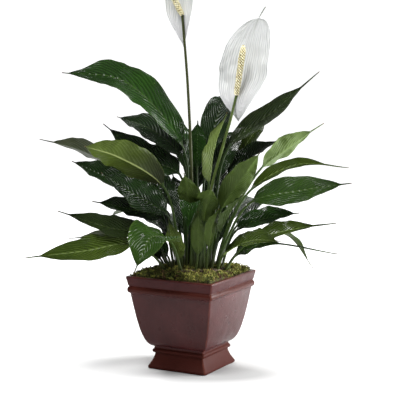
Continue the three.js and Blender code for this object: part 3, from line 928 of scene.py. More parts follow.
@dataclass(frozen=True)
class Moss:
    """The mat of moss that fills the pot's mouth and climbs the crown, with sprigs standing all over it.

    Each of the three kinds of lump has a size and a level in the noise. The sprigs beyond the halfway share
    of the mat's half width are a piece of their own.
    """

    half: float = 68.0
    cells: int = 150
    edge: float = 144.6
    rise: float = 14.0
    fullness: float = 0.35
    thickness: float = 5.0
    tussock: Pair = (19.0, 5.3)
    clump: Pair = (8.0, 3.1)
    crumb: Pair = (3.0, 8.7)
    sprigs: int = 5600
    halfway: float = 0.707
    border: float = 5.0

    def lumps(self, x: float, y: float, kind: Pair) -> float:
        """Returns smooth noise with lumps of a kind."""
        return noise.noise(Vector((x / kind[0], y / kind[0], kind[1])))

    def height(self, x: float, y: float) -> float:
        """Measures the ground.

        Args:
            x: the place along the first axis.
            y: the place along the second axis.

        Returns:
            The height above the table, in millimetres.
        """
        inward = max(0.0, 1 - max(abs(x), abs(y)) / self.half)
        mound = self.edge + self.rise * inward ** self.fullness
        tussock, clump, crumb = (self.lumps(x, y, kind) for kind in (self.tussock, self.clump, self.crumb))
        return mound + 3.4 * tussock + 3.4 * clump + 1.8 * crumb - 0.6

    def build_mat(self) -> Piece:
        """Lays the ground of the mat as a closed slab.

        Returns:
            The mat.
        """
        n = self.cells
        side = np.linspace(-self.half, self.half, n + 1)
        top = np.array([[(x, y, self.height(x, y)) for y in side] for x in side])
        mat, _ = shaped_grid("moss_mat", n + 1, n + 1, top)
        with editing(mat):
            bpy.ops.mesh.extrude_region_move(TRANSFORM_OT_translate={"value": (0, 0, -self.thickness * MM)})
            face_outwards()
        smooth(mat, 60)
        return mat

    def sprig(self) -> Piece:
        """Makes one sprig: a small crumpled cone, wider one way than the other.

        Returns:
            The sprig.
        """
        bpy.ops.mesh.primitive_cone_add(vertices=5, radius1=0.5 * MM, radius2=0.12 * MM, depth=3 * MM)
        sprig = bpy.context.active_object
        with editing(sprig):
            bpy.ops.mesh.subdivide(number_cuts=1, smoothness=0.6)
        for vertex in sprig.data.vertices:
            swell = 1 + 0.9 * noise.noise(vertex.co * 700)
            vertex.co = Vector((vertex.co.x * swell * 1.5, vertex.co.y * swell, vertex.co.z + 1.2 * MM))
        return sprig

    def build_sprigs(self) -> list[Piece]:
        """Stands sprigs all over the mat, leaning out of it in every direction.

        Returns:
            The sprigs near the crown and those near the rim.
        """
        rng = np.random.default_rng(7)
        reach = self.half - 0.6
        places = np.zeros((self.sprigs, 3))
        turns = np.zeros((self.sprigs, 3, 3))
        for k in range(self.sprigs):
            x, y = rng.uniform(-reach, reach, 2)
            at_edge = max(abs(x), abs(y)) > self.half - self.border
            lean = rng.uniform(0.2, 1.35)
            way = math.atan2(y, x) + rng.normal(0, 0.8) if at_edge else rng.uniform(0, 2 * math.pi)
            lean = min(lean, 0.9) if at_edge else lean
            ca, sa, cl, sl = math.cos(way), math.sin(way), math.cos(lean), math.sin(lean)
            tilt = np.array([[ca * cl, -sa, ca * sl], [sa * cl, ca, sa * sl], [-sl, 0, cl]])
            spin = rng.uniform(0, 2 * math.pi)
            cs, ss = math.cos(spin), math.sin(spin)
            roll = np.array([[cs, -ss, 0], [ss, cs, 0], [0, 0, 1]])
            hollow = self.lumps(x, y, self.clump) + 0.5 * self.lumps(x, y, self.crumb)
            size = rng.uniform(0.6, 1.7) * (0.45 + 0.55 * smoothstep(hollow, -0.35, 0.1))
            turns[k] = tilt @ roll @ np.diag([size, size, size * rng.uniform(0.6, 1.3)])
            places[k] = np.array([x, y, self.height(x, y) - 0.4]) * MM
        outer = np.abs(places[:, :2]).max(axis=1) > self.halfway * self.half * MM
        return [
            scattered(name, self.sprig(), turns[chosen], places[chosen])
            for name, chosen in (("moss_sprigs_crown", ~outer), ("moss_sprigs_rim", outer))
        ]

    def build(self) -> list[Piece]:
        """Returns the mat and the two pieces that hold the sprigs."""
        return [self.build_mat(), *self.build_sprigs()]

    def dress(self, pieces: list[Piece]) -> None:
        """Colours the mat and its sprigs.

        Args:
            pieces: the mat, then the sprigs.
        """
        ground, green = MOSS.make(), SPRIG.make()
        for piece, material in zip(pieces, (ground, green, green)):
            keep(piece, [material], "moss")


# Leaves


@dataclass(frozen=True)
class Leaf:
    """One leaf, petiole and blade in one.

    The root is a reach from the crown and a heading. The collar, where the blade begins, the crest and the
    tip are each a reach and a height. Roll and twist turn the blade about its midrib, the fold raises its
    halves, and the tail is the share of it that is drawn out to a point.
    """

    heading: float
    root: Pair
    collar: Pair
    crest: Pair
    tip: Pair
    width: float
    roll: float
    twist: float
    fold: float
    tail: float
    tone: Tone

    across: int = 16
    stalk_stations: int = 14
    blade_stations: int = 48
    root_radius: float = 2.5
    collar_radius: float = 1.7
    sheath: float = 1.2
    half_thickness: float = 0.3
    tail_half: float = 2.0
    tip_half: float = 0.7
    waves: float = 3.5
    wave_rise: float = 0.07
    crumples: Pair = (0.2, 0.1)
    trough_depth: float = 0.05
    trough_half: float = 0.16
    rib_half: float = 1.6
    rim_drop: float = 0.25
    green_from: float = 0.515
    knee_out: float = 0.35
    knee_up: float = 0.55

    def midline(self) -> Midline:
        """Draws the line from the sunk foot through the collar to the tip.

        Returns:
            The line.
        """
        foot = crown_point(self.root[1], self.root[0], ROOT_HEIGHT)
        marks = (self.collar, self.crest, self.tip)
        neck, crest, tip = (crown_point(self.heading, *mark) for mark in marks)
        knee = lerp(foot, neck, self.knee_out)
        knee[2] = lerp(foot[2], neck[2], self.knee_up)
        return Midline([foot, knee, neck, crest, tip])

    def shares(self) -> Array:
        """Spaces the stations along the leaf, closest together at the tip.

        Returns:
            Shares of the midline.
        """
        stalk = np.linspace(0, 0.5, self.stalk_stations, endpoint=False)
        t = np.linspace(0, 1, self.blade_stations)
        return np.concatenate([stalk, 0.5 + 0.5 * (0.75 * t + 0.25 * (1 - (1 - t) ** 2))])

    def frames(self, share: Array) -> tuple[Array, Array, Array]:
        """Sets up each station.

        Args:
            share: the stations.

        Returns:
            Their places, sides and upward directions.
        """
        place, forward = self.midline().sample(share)
        side = level_way(self.heading + 90)
        side = unit(side - forward * (forward @ side)[:, None])
        bend = self.roll * smoothstep(share, 0.25, 0.6) + self.twist * np.maximum(0, 2 * share - 1)
        turn = np.radians(bend)[:, None]
        side = side * np.cos(turn) + np.cross(forward, side) * np.sin(turn)
        return place, side, np.cross(forward, side)

    def outline(self, along: Array) -> Array:
        """Draws the blade's outline.

        Args:
            along: shares of the blade.

        Returns:
            The half widths there, as shares of the widest.
        """
        body = along / (1 - self.tail)
        inside = np.clip(body, 0, 1)
        return np.where(body < 1, np.maximum(np.sin(math.pi * inside ** 0.85), 0) ** 0.85, 0.0)

    def blade(self, along: Array, radius: Array, spread: Array) -> Array:
        """Shapes the blade: waved, crumpled, folded along its midrib and thickest there.

        Args:
            along: the stations' shares of the blade.
            radius: the petiole's radius at each station.
            spread: how far the blade has opened at each.

        Returns:
            Stations by ring points, each a distance sideways and upwards.
        """
        stalk = lerp(radius, self.tail_half, np.minimum(1, 2 * along))
        tip = lerp(stalk, self.tip_half, np.maximum(0, 4 * along - 3))
        edge = np.maximum(tip, self.width / 2 * self.outline(along))[:, None]
        fold = (math.radians(self.fold) * spread)[:, None]
        rib = lerp(radius, 0.5, along ** 0.6)[:, None]
        u = np.linspace(-1, 1, self.across + 1)
        seed = Vector((self.heading * 0.37, self.collar[1] * 0.011, self.width * 0.1))
        coarse = self.crumples[0] * crumpled(seed, u, along, (1.4, 5.5, 0))
        fine = self.crumples[1] * crumpled(seed, u, along, (3.4, 15, 5))
        mag = np.abs(u)[None, :]
        phase = 2 * math.pi * self.waves * along[:, None] + np.sign(u)[None, :]
        wave = self.wave_rise * edge * np.sin(phase) * mag ** 1.6 + edge * (coarse + fine) * mag ** 0.8
        trough = -self.trough_depth * edge * np.exp(-((mag / self.trough_half) ** 2))
        lift = spread[:, None] * (wave + trough) + edge * (mag ** 1.25) * np.sin(fold)
        flat = edge * u[None, :] * np.cos(fold)
        thin = self.half_thickness * (1 - 0.5 * mag)
        thick = lerp(self.half_thickness, rib, np.exp(-((mag * edge / self.rib_half) ** 2)))
        upper = np.stack([flat, lift + thin], axis=-1)
        lower = np.stack([flat, lift - np.maximum(thin, thick)], axis=-1)[:, ::-1]
        lower[:, 0, 1] = upper[:, -1, 1] - self.rim_drop
        lower[:, -1, 1] = upper[:, 0, 1] - self.rim_drop
        return np.concatenate([upper, lower], axis=1)

    def petiole(self, share: Array, radius: Array) -> Array:
        """Shapes the petiole: round, with a sheath's two wings at its foot.

        Args:
            share: the stations.
            radius: the petiole's radius at each.

        Returns:
            Stations by ring points, each a distance sideways and upwards.
        """
        count = 2 * (self.across + 1)
        angle = math.pi - np.arange(count) / count * 2 * math.pi
        circle = radius[:, None, None] * np.stack([np.cos(angle), np.sin(angle)], axis=-1)[None]
        wing = self.sheath * (1 - smoothstep(share, 0.1, 0.34))[:, None]
        channel = 0.5 * wing * np.abs(circle[..., 0])
        return np.stack([circle[..., 0] * (1 + wing), circle[..., 1] + channel], axis=-1)

    def surface(self) -> tuple[Array, Array]:
        """Shapes the leaf.

        Returns:
            Stations by ring points, and for each the share along the blade and across it.
        """
        share = self.shares()
        place, side, up = self.frames(share)
        along = np.maximum(0, 2 * share - 1)
        spread = smoothstep(share, 0.5, 0.56)
        radius = lerp(self.root_radius, self.collar_radius, np.minimum(1, 2 * share))
        ring = lerp(self.petiole(share, radius), self.blade(along, radius, spread), spread[:, None, None])
        points = place[:, None] + side[:, None] * ring[..., :1] + up[:, None] * ring[..., 1:]
        across = (np.linspace(-1, 1, self.across + 1) + 1) / 2
        across = np.concatenate([across, across[::-1]])
        return points, np.stack(np.broadcast_arrays(along[:, None], across[None]), axis=-1)

    def build(self, number: int) -> Piece:
        """Rolls a grid up into the leaf and closes it.

        Args:
            number: the leaf's number in the plant.

        Returns:
            The leaf.
        """
        points, plan = (np.concatenate([a, a[:, :1]], axis=1) for a in self.surface())
        rows, columns = points.shape[:2]
        leaf, order = shaped_grid(f"lily_leaf_{number:02d}", rows, columns, points)
        lay_uv(leaf, plan.reshape(-1, 2)[order])
        share = self.shares()
        for polygon in leaf.data.polygons:
            row, column = divmod(min(int(order[v]) for v in polygon.vertices), columns)
            blade = share[row] >= self.green_from
            polygon.material_index = 2 if not blade else 0 if column < columns // 2 else 1
        close_tube(leaf)
        smooth(leaf, 62)
        return leaf


LEAVES = (
    Leaf(187, (16, 194), (20, 338), (109, 442), (204, 455), 70, -50, 15, 12, 0.05, Tone.DEEP),
    Leaf(147, (16, 144), (26, 322), (84, 366), (152, 384), 58, -30, 0, 16, 0.05, Tone.DARK),
    Leaf(172, (16, 168), (26, 298), (81, 324), (146, 376), 58, -45, 0, 16, 0.08, Tone.DARK),
    Leaf(212, (24, 214), (58, 282), (134, 332), (192, 350), 60, 46, 0, 12, 0.02, Tone.OLIVE),
    Leaf(158, (24, 154), (78, 262), (186, 328), (274, 347), 56, 45, 0, 16, 0.14, Tone.GREY),
    Leaf(177, (24, 174), (57, 256), (138, 294), (193, 319), 52, -35, 0, 20, 0.04, Tone.DARK),
    Leaf(197, (24, 195), (46, 236), (103, 275), (150, 306), 60, -50, 0, 16, 0.06, Tone.DARK),
    Leaf(181, (32, 181), (52, 226), (106, 247), (161, 258), 44, -40, 0, 18, 0.1, Tone.DARK),
    Leaf(193, (32, 196), (73, 206), (138, 222), (215, 249), 44, -40, 0, 18, 0.1, Tone.GREY),
    Leaf(165, (32, 165), (84, 200), (151, 198), (211, 192), 34, 30, 0, 18, 0.15, Tone.GREY),
    Leaf(199, (32, 211), (98, 196), (180, 190), (268, 184), 46, -50, 0, 14, 0.12, Tone.LIGHT),
    Leaf(232, (32, 232), (62, 200), (108, 216), (148, 168), 78, -15, 0, 14, 0.08, Tone.MID),
    Leaf(222, (36, 222), (38, 170), (50, 204), (58, 236), 40, 0, 0, 14, 0.1, Tone.LIGHT),
    Leaf(247, (16, 240), (22, 236), (34, 274), (50, 306), 40, 0, 0, 14, 0.08, Tone.MID),
    Leaf(88, (8, 76), (10, 306), (24, 352), (46, 380), 28, 0, 0, 18, 0.1, Tone.DEEP),
    Leaf(62, (16, 86), (34, 320), (78, 396), (116, 424), 48, 20, 0, 16, 0.08, Tone.DARK),
    Leaf(296, (16, 298), (40, 286), (58, 346), (100, 398), 34, 30, 0, 30, 0.1, Tone.LIGHT),
    Leaf(48, (16, 58), (38, 280), (74, 342), (110, 360), 50, 15, 0, 16, 0.06, Tone.DARK),
    Leaf(259, (16, 267), (33, 220), (55, 262), (73, 214), 36, -7, 0, 14, 0.1, Tone.DEEP),
    Leaf(288, (24, 278), (34, 228), (48, 262), (66, 286), 36, -20, 0, 14, 0.08, Tone.MID),
    Leaf(272, (24, 258), (32, 178), (38, 216), (46, 248), 24, 0, 0, 22, 0.1, Tone.MID),
    Leaf(297, (24, 300), (38, 190), (52, 228), (72, 254), 22, 0, 0, 18, 0.1, Tone.MID),
    Leaf(314, (24, 321), (48, 212), (74, 252), (98, 276), 40, 20, 0, 16, 0.08, Tone.DARK),
    Leaf(12, (16, 0), (49, 338), (125, 398), (195, 456), 40, 38, 0, 16, 0.2, Tone.GREY),
    Leaf(46, (24, 44), (92, 316), (132, 358), (162, 390), 34, 20, 0, 16, 0.06, Tone.LIGHT),
    Leaf(24, (16, 28), (52, 290), (99, 330), (149, 351), 38, 20, 0, 20, 0.12, Tone.DARK),
    Leaf(332, (16, 330), (40, 246), (75, 296), (106, 336), 42, -50, 0, 14, 0.04, Tone.MID),
    Leaf(20, (24, 20), (106, 304), (160, 342), (215, 374), 44, -60, 0, 16, 0.2, Tone.MID),
    Leaf(1, (24, 0), (80, 272), (152, 314), (234, 309), 28, 35, 0, 22, 0.2, Tone.LIGHT),
    Leaf(345, (24, 341), (84, 258), (160, 279), (238, 292), 48, 55, 0, 12, 0.1, Tone.MID),
    Leaf(356, (32, 357), (60, 212), (108, 233), (158, 241), 42, 35, 0, 20, 0.08, Tone.DEEP),
    Leaf(340, (32, 340), (86, 200), (145, 220), (220, 234), 38, 35, 0, 18, 0.22, Tone.LIGHT),
    Leaf(322, (32, 324), (50, 178), (100, 206), (156, 210), 48, 30, 0, 16, 0.08, Tone.LIGHT),
    Leaf(349, (39, 352), (58, 172), (105, 194), (218, 182), 34, 30, 0, 20, 0.36, Tone.MID),
    Leaf(10, (32, 14), (98, 206), (144, 202), (186, 148), 36, 0, 0, 16, 0.1, Tone.MID),
    Leaf(116, (16, 116), (24, 296), (72, 358), (124, 374), 50, 0, 0, 16, 0.1, Tone.DEEP),
    Leaf(90, (24, 88), (42, 268), (100, 330), (162, 342), 52, 0, 0, 16, 0.1, Tone.DEEP),
    Leaf(134, (24, 130), (52, 240), (115, 290), (182, 296), 52, 0, 0, 16, 0.1, Tone.DEEP),
    Leaf(66, (24, 66), (52, 250), (110, 302), (175, 308), 50, 0, 0, 16, 0.1, Tone.DEEP),
    Leaf(110, (24, 109), (44, 224), (98, 258), (160, 262), 50, 0, 0, 16, 0.1, Tone.DARK),
    Leaf(106, (32, 103), (70, 195), (140, 222), (212, 200), 52, 0, 0, 14, 0.1, Tone.DEEP),
    Leaf(80, (32, 80), (72, 200), (145, 236), (220, 222), 52, 0, 0, 16, 0.1, Tone.DEEP),
    Leaf(54, (32, 54), (70, 205), (140, 245), (208, 234), 50, 0, 0, 16, 0.1, Tone.DEEP),
    Leaf(136, (32, 134), (70, 204), (140, 232), (205, 216), 50, 0, 0, 16, 0.1, Tone.DEEP),
    Leaf(32, (32, 33), (72, 212), (130, 250), (184, 256), 42, 0, 0, 16, 0.1, Tone.DEEP),
    Leaf(123, (32, 119), (35, 206), (55, 264), (72, 297), 48, 0, 0, 14, 0.1, Tone.DARK),
    Leaf(152, (32, 150), (44, 186), (74, 237), (94, 264), 46, 0, 0, 14, 0.1, Tone.DARK),
    Leaf(52, (32, 67), (41, 179), (64, 248), (91, 277), 46, 10, 0, 14, 0.1, Tone.DEEP),
    Leaf(180, (39, 167), (55, 166), (87, 204), (109, 218), 44, -36, 0, 14, 0.1, Tone.DARK),
    Leaf(202, (38, 201), (47, 173), (67, 198), (86, 220), 42, -31, 0, 14, 0.1, Tone.DARK),
    Leaf(82, (39, 91), (44, 182), (60, 221), (62, 264), 42, 4, 0, 14, 0.1, Tone.DARK),
)


@dataclass(frozen=True)
class Foliage:
    """All the leaves of the clump, numbered as the frame's nodes are."""

    leaves: tuple[Leaf, ...] = LEAVES
    shaded: tuple[Tone, ...] = (Tone.DARK, Tone.GREY, Tone.DEEP)

    def build(self) -> list[Piece]:
        """Returns every leaf, newly built."""
        return [leaf.build(number) for number, leaf in enumerate(self.leaves, start=1)]

    def dress(self, pieces: list[Piece]) -> None:
        """Colours the two faces and the petiole of each leaf in its tone.

        Args:
            pieces: the leaves.
        """
        # The dark petiole is painted shade, given to the leaves of the shaded tones.
        pale, dark = PETIOLE.make(), PETIOLE_DARK.make()
        materials = {
            f.tone: [f.face(False), f.face(True), dark if f.tone in self.shaded else pale]
            for f in LEAF_FINISHES
        }
        for number, (leaf, piece) in enumerate(zip(self.leaves, pieces), start=1):
            keep(piece, materials[leaf.tone], f"leaf_{number:02d}")


# Flowers


@dataclass(frozen=True)
class Flower:
    """One bloom: a round scape, the white spathe that stands behind, and the spadix on the scape's end.

    The scape runs through points in the clump, the face is the heading of the open side, and the two leans
    say how many degrees the sheet and the spike lean forward and sideways. The lobe and the tail are the
    shares of the sheet below the joint and in its drawn-out point. Cup, belly, flare and curl bend it.
    """

    name: str
    scape: tuple[tuple[float, float, float], ...]
    face: float
    sheet_lean: Pair
    spadix_lean: Pair
    spadix: float
    spathe: float
    width: float
    lobe: float
    tail: float
    fullness: float
    cup: float
    belly: float
    flare: float
    curl: float

    root_radius: float = 2.6
    top_radius: float = 1.9
    gap: float = 1.15
    spadix_radius: float = 4.4
    thickness: float = 0.7
    seat: float = 2.52
    tip_half: float = 1.3
    hollow: float = 0.06
    florets: int = 215
    floret_radius: float = 1.6
    scape_stations: int = 64
    core_stations: int = 40
    sheet_rows: int = 84
    sheet_columns: int = 73

    def line(self) -> Midline:
        """Returns the scape's midline."""
        return Midline([crown_point(*point) for point in self.scape])

    def joint(self) -> Array:
        """Returns the scape's upper end."""
        return self.line().at(1.0)

    def directions(self) -> tuple[Array, Array, Array, Array]:
        """Finds how the bloom stands.

        Returns:
            The spathe's front, side and up, and the spadix's axis.
        """
        front = level_way(self.face)
        upright = np.array([0.0, 0.0, 1.0])
        side = np.cross(upright, front)
        up, axis = (
            unit(upright + front * forward + side * sideways)
            for forward, sideways in np.tan(np.radians([self.sheet_lean, self.spadix_lean]))
        )
        return front, side, up, axis

    def build_scape(self) -> Piece:
        """Rolls a tube along the scape's line.

        Returns:
            The scape.
        """
        share = np.linspace(0, 1, self.scape_stations)
        place, forward = self.line().sample(share)
        side = unit(np.cross(forward, np.array([1.0, 0.3, 0.0])))
        radius = lerp(self.root_radius, self.top_radius, share) * (1 + 0.12 * smoothstep(share, 0.985, 1.0))
        tube = rolled_tube(f"scape_{self.name}_stalk", place, radius, side, np.cross(forward, side))
        smooth(tube, 50)
        return tube

    def waist(self, ring: float) -> float:
        """Returns the spike's girth at a share of its length, as a share of its widest."""
        round_end = math.sqrt(max(0.0, 1 - max(0.0, (ring - 0.8) / 0.2) ** 2))
        return min(max(0.22, round_end), 0.55 + 0.5 * (0.6 + 0.4 * ring) * min(1.0, 0.5 + 4 * ring))

    def floret(self) -> Piece:
        """Makes one floret: a flattened bead with four faint corners.

        Returns:
            The floret.
        """
        bpy.ops.mesh.primitive_ico_sphere_add(subdivisions=2, radius=self.floret_radius * MM)
        floret = bpy.context.active_object
        for vertex in floret.data.vertices:
            vertex.co.z *= 0.6
            corner = 1 - 0.12 * abs(math.sin(2 * math.atan2(vertex.co.y, vertex.co.x)))
            vertex.co.x *= corner
            vertex.co.y *= corner
        return floret

    def build_spadix(self) -> Piece:
        """Stands rows of florets, in spirals, round a smooth core.

        Returns:
            The spadix.
        """
        _, side, _, axis = self.directions()
        across = unit(side - axis * (axis @ side))
        other = np.cross(axis, across)
        foot = self.joint() + axis * self.gap
        turns, places = [], []
        golden = math.pi * (3 - math.sqrt(5))
        for k in range(self.florets):
            ring = (k + 0.5) / self.florets
            out = across * math.cos(k * golden) + other * math.sin(k * golden)
            slope = (self.waist(min(1.0, ring + 0.01)) - self.waist(max(0.0, ring - 0.01))) / 0.02
            normal = unit(out - axis * slope * self.spadix_radius / self.spadix)
            along = unit(axis - normal * (axis @ normal))
            size = 1.0 + 0.12 * math.sin(k * 7.3)
            turns.append(np.stack([np.cross(normal, along), along, normal], axis=1) * size)
            sunk = out * (self.spadix_radius * self.waist(ring) - 0.2)
            places.append((foot + axis * self.spadix * ring + sunk) * MM)
        spike = scattered(f"spadix_{self.name}_spike", self.floret(), np.array(turns), np.array(places))
        share = np.linspace(0, 1, self.core_stations)
        radius = np.array([self.spadix_radius * self.waist(s) - 0.5 for s in share])
        centre = foot + axis * (self.spadix * share)[:, None]
        core = rolled_tube("spadix_core", centre, radius, across, other)
        only(spike)
        core.select_set(True)
        bpy.ops.object.join()
        self.mark_seams(spike, foot, axis)
        smooth(spike, 60)
        return spike

    def mark_seams(self, spike: Piece, foot: Array, axis: Array) -> None:
        """Lays out how far each place of the spike stands out of the seams between the florets.

        Args:
            spike: the spadix.
            foot: its lower end.
            axis: its direction.
        """
        place = points_of(spike) / MM - foot
        high = place @ axis
        ring = np.clip(high / self.spadix, 0, 1)
        out = np.linalg.norm(place - np.outer(high, axis), axis=1)
        raised = out - self.spadix_radius * np.array([self.waist(share) for share in ring])
        lay_uv(spike, np.stack([smoothstep(raised, -0.1, 0.4), ring], axis=1))

    def sheet(self, share: Array, across: Array) -> Array:
        """Shapes the spathe's midsurface.

        Args:
            share: rows from the lobes at the base to the tip.
            across: columns from edge to edge, -1 to 1.

        Returns:
            Rows by columns points.
        """
        front, side, up, _ = self.directions()
        s, c = share[:, None], across[None, :]
        above = np.maximum(0, s - self.lobe)
        below = np.maximum(0, self.lobe - s) / self.lobe
        body = np.minimum(1, s / (1 - self.tail))
        bow = np.maximum(0, np.sin(math.pi * body))
        blunt = lerp(1.0, self.fullness, smoothstep(body, 0.4, 0.52))
        half = np.maximum(self.tip_half, self.width / 2 * bow ** blunt)
        risen = np.hypot(above, self.hollow * smoothstep(np.abs(c) * half, 0.0, 14.0))
        back = self.seat + self.belly * np.sin(math.pi * (1.15 * risen) ** 0.6) + self.flare * below ** 2
        curl = self.curl * (above / (1 - self.lobe)) ** 4
        seed = Vector((self.face * 0.1, self.width * 0.07, 2.0))
        coarse = 0.1 * crumpled(seed, across, share, (1.8, 6, 0))
        fine = 0.05 * crumpled(seed, across, share, (5.5, 13, 4))
        ribs = np.cos(c * math.pi * 9 + 0.6 * np.sin(5 * s)) * (1 - np.abs(c) ** 4)
        ribs = ribs * np.sin(math.pi * np.clip(s, 0, 1))
        free = np.minimum(1, np.hypot((s - self.lobe) / 0.12, c / 0.3))
        cup = self.cup * half * c ** 2 + 1.2 * np.abs(c) * np.sin(14 * s + c)
        cup = cup + half * (coarse + fine) * (0.25 * free + np.abs(c)) + 0.5 * ribs * free
        depth = cup * (1 - 0.3 * below ** 2) - back
        rise = (s - self.lobe) * self.spathe
        wide = c * half + curl
        return self.joint() + up * rise[..., None] + side * wide[..., None] + front * depth[..., None]

    def build_spathe(self) -> Piece:
        """Raises the ribbed sheet and thickens it.

        Returns:
            The spathe.
        """
        share = np.linspace(0.002, 0.998, self.sheet_rows)
        across = np.linspace(-1, 1, self.sheet_columns)
        surface = self.sheet(share, across)
        sheet, _ = shaped_grid(f"spathe_{self.name}_sheet", self.sheet_rows, self.sheet_columns, surface)
        apply_modifier(sheet, "SOLIDIFY", thickness=self.thickness * MM, offset=0.0, use_even_offset=False)
        with editing(sheet):
            face_outwards()
        smooth(sheet, 70)
        return sheet

    def build(self) -> list[Piece]:
        """Returns the scape, the spathe and the spadix."""
        return [self.build_scape(), self.build_spathe(), self.build_spadix()]

    def dress(self, pieces: list[Piece], materials: list[Material]) -> None:
        """Colours the bloom.

        Args:
            pieces: the scape, the spathe and the spadix.
            materials: the material of each.
        """
        kinds = (("stalk_green", "scape"), ("spathe_white", "spathe"), ("spadix_cream", "spadix"))
        for piece, material, (slot, kind) in zip(pieces, materials, kinds):
            keep(piece, [material], f"{kind}_{self.name}")


TALL = Flower("tall", ((144, 8, 112), (162, 9, 317), (170, 11, 376), (176, 15, 452), (180, 22, 541)),
              235, (3, 5), (25, -15), 64, 176, 54, 0.27, 0.06, 0.8, 0.64, 4, 5, -12)
SHORT = Flower("short", ((8, 8, 112), (20, 18, 250), (10, 45, 357), (5, 52, 384), (0, 60, 420)),
               238, (-6, 7), (3, 11), 76, 176, 87, 0.23, 0.1, 0.39, 0.1, 10, 17, 24)


@dataclass(frozen=True)
class Blooms:
    """The plant's two blooms, each with the green of its scape."""

    flowers: tuple[tuple[Flower, StalkFinish], ...] = ((TALL, SCAPE_DARK), (SHORT, SCAPE))

    def build(self) -> list[Piece]:
        """Returns the three pieces of each bloom."""
        return [piece for flower, _ in self.flowers for piece in flower.build()]

    def dress(self, pieces: list[Piece]) -> None:
        """Colours both blooms.

        Args:
            pieces: the three pieces of each.
        """
        white, cream = SpatheFinish().make(), SpadixFinish().make()
        for k, (flower, green) in enumerate(self.flowers):
            flower.dress(pieces[3 * k : 3 * k + 3], [green.make(), white, cream])


# Stage


@dataclass(frozen=True)
class Lamp:
    """A soft square lamp, hung towards the camera, to its right and up from the plant's middle, in metres."""

    name: str
    towards: float
    right: float
    up: float
    size: float
    power: float


LAMPS = (
    Lamp("top_light", 0.75, -0.4, 1.7, 0.7, 40.0),
    Lamp("side_light", -0.05, 1.35, 0.15, 0.7, 54.0),
    Lamp("back_light", -1.2, -0.8, 1.1, 0.4, 16.0),
)


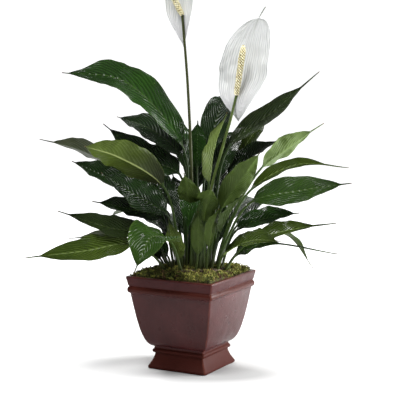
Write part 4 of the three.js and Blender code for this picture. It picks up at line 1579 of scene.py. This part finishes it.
@dataclass(frozen=True)
class Stage:
    """The pale floor, the white room, the soft lights and the camera of the picture.

    Lengths are in metres. The floor's outline gives distances behind the plant and heights. The shade is a
    soft oval, painted round a place in front of the pot and to its right.
    """

    azimuth: float = 28.7
    pitch: float = 6.6
    distance: float = 1.849
    lens: float = 108.0
    aim_height: float = 0.2596
    aim_right: float = 0.0128
    middle: float = 0.28
    glow: float = 0.75
    ambient: float = 0.24
    room: Colour = (0.98, 0.99, 1.0)
    paper: Colour = (0.88, 0.88, 0.88)
    shade: Colour = (0.38, 0.38, 0.38)
    shade_forward: float = 0.052
    shade_right: float = 0.035
    shade_reach: float = 0.25
    shade_fade: float = 0.18
    shade_flat: float = 2.1
    floor_half: float = 8.0
    floor_drop: float = 0.0004
    outline: tuple[Pair, ...] = (
        (-2.6, 0.0), (2.7, 0.0), (3.4, 0.05), (4.0, 0.28), (4.4, 0.75), (4.6, 1.4), (4.6, 5.4))

    def directions(self) -> tuple[Vector, Vector]:
        """Finds the picture's directions.

        Returns:
            Its right, and the way back to the camera.
        """
        a, e = math.radians(self.azimuth), math.radians(self.pitch)
        right = Vector((math.cos(a), math.sin(a), 0))
        return right, Vector((math.sin(a) * math.cos(e), -math.cos(a) * math.cos(e), math.sin(e)))

    def build(self) -> None:
        """Sets up floor, room, lights and camera."""
        self.floor()
        self.world()
        for lamp in LAMPS:
            self.light(lamp)
        self.camera()

    def floor(self) -> None:
        """Lays a wide pale floor that rises far behind into the background."""
        a = math.radians(self.azimuth)
        bpy.ops.mesh.primitive_plane_add(size=1)
        floor = bpy.context.active_object
        floor.name = floor.data.name = "pale_floor"
        ca, sa = math.cos(a), math.sin(a)
        corners = [
            (wide * ca - depth * sa, wide * sa + depth * ca, z - self.floor_drop)
            for depth, z in self.outline
            for wide in (-self.floor_half, self.floor_half)
        ]
        faces = [(2 * k, 2 * k + 1, 2 * k + 3, 2 * k + 2) for k in range(len(self.outline) - 1)]
        floor.data.clear_geometry()
        floor.data.from_pydata(corners, [], faces)
        floor.data.update()
        smooth(floor, 60)
        floor.data.materials.append(self.pale_paper())

    def pale_paper(self) -> Material:
        """Makes the floor's material, with the soft shade under the pot and a glow that grows away from it.

        Returns:
            The material.
        """
        a = math.radians(self.azimuth)
        g = Graph("pale_paper")
        place = g.coords("Object")
        grain = g.noise(place, 300.0, 2.0)
        away = g.node("VectorMath", place, operation="LENGTH").outputs["Value"]
        sideways, back = (
            g.node("VectorMath", place, axis, operation="DOT_PRODUCT").outputs["Value"]
            for axis in ((math.cos(a), math.sin(a), 0), (-math.sin(a), math.cos(a), 0))
        )
        beside = g.math("SUBTRACT", sideways, self.shade_right)
        behind = g.times(g.math("ADD", back, self.shade_forward), self.shade_flat)
        apart = g.math("SQRT", g.math("MULTIPLY_ADD", beside, beside, g.times(behind, behind)))
        near = g.fall(apart, self.shade_reach, 1 / self.shade_fade)
        paper = g.mix(g.math("POWER", near, 1.5), self.paper, self.shade)
        colour = g.mix(g.times(grain, 0.03), paper, (1.0, 1.0, 1.0))
        glow = g.times(g.rise(away, 0.3, 0.8), self.glow)
        g.feed(g.shader.inputs["Emission Strength"], glow)
        g.feed(g.shader.inputs["Emission Color"], (1.0, 1.0, 1.0))
        return g.finish(colour, 0.85, g.bump(grain, 0.0001), Specular_IOR_Level=0.1)

    def world(self) -> None:
        """Fills the room with even white light."""
        world = bpy.data.worlds.new("white_room")
        world.use_nodes = True
        background = next(n for n in world.node_tree.nodes if n.type == "BACKGROUND")
        background.inputs["Color"].default_value = (*self.room, 1)
        background.inputs["Strength"].default_value = self.ambient
        bpy.context.scene.world = world

    def light(self, lamp: Lamp) -> None:
        """Hangs one soft lamp that looks at the middle of the plant.

        Args:
            lamp: where it hangs, its size and its watts.
        """
        right, back = self.directions()
        level = Vector((back.x, back.y, 0)).normalized()
        data = bpy.data.lights.new(lamp.name, "AREA")
        data.energy = lamp.power
        data.size = lamp.size
        hung = bpy.data.objects.new(lamp.name, data)
        way = level * lamp.towards + right * lamp.right + Vector((0, 0, lamp.up))
        hung.location = Vector((0, 0, self.middle)) + way
        hung.rotation_euler = (-way).to_track_quat("-Z", "Y").to_euler()
        bpy.context.scene.collection.objects.link(hung)

    def camera(self) -> None:
        """Puts the camera where the picture was taken from."""
        right, back = self.directions()
        data = bpy.data.cameras.new("picture_camera")
        data.lens = self.lens
        data.sensor_width = 36.0
        data.clip_end = 30.0
        camera = bpy.data.objects.new("picture_camera", data)
        camera.location = right * self.aim_right + Vector((0, 0, self.aim_height)) + back * self.distance
        camera.rotation_euler = back.to_track_quat("Z", "Y").to_euler()
        bpy.context.scene.collection.objects.link(camera)
        bpy.context.scene.camera = camera


# The whole plant


def main() -> None:
    """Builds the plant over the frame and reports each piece."""
    logging.basicConfig(level=logging.INFO, format="%(message)s")
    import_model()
    bpy.ops.object.select_all(action="DESELECT")
    for assembly in (Pot(), Soil(), Moss(), Foliage(), Blooms()):
        pieces = assembly.build()
        assembly.dress(pieces)
        for piece in pieces:
            log.info("%s: %d faces", piece.name, len(piece.data.polygons))
    Stage().build()
    bpy.context.scene.view_settings.view_transform = "Standard"
    bpy.ops.object.select_all(action="DESELECT")


if __name__ == "__main__":
    main()
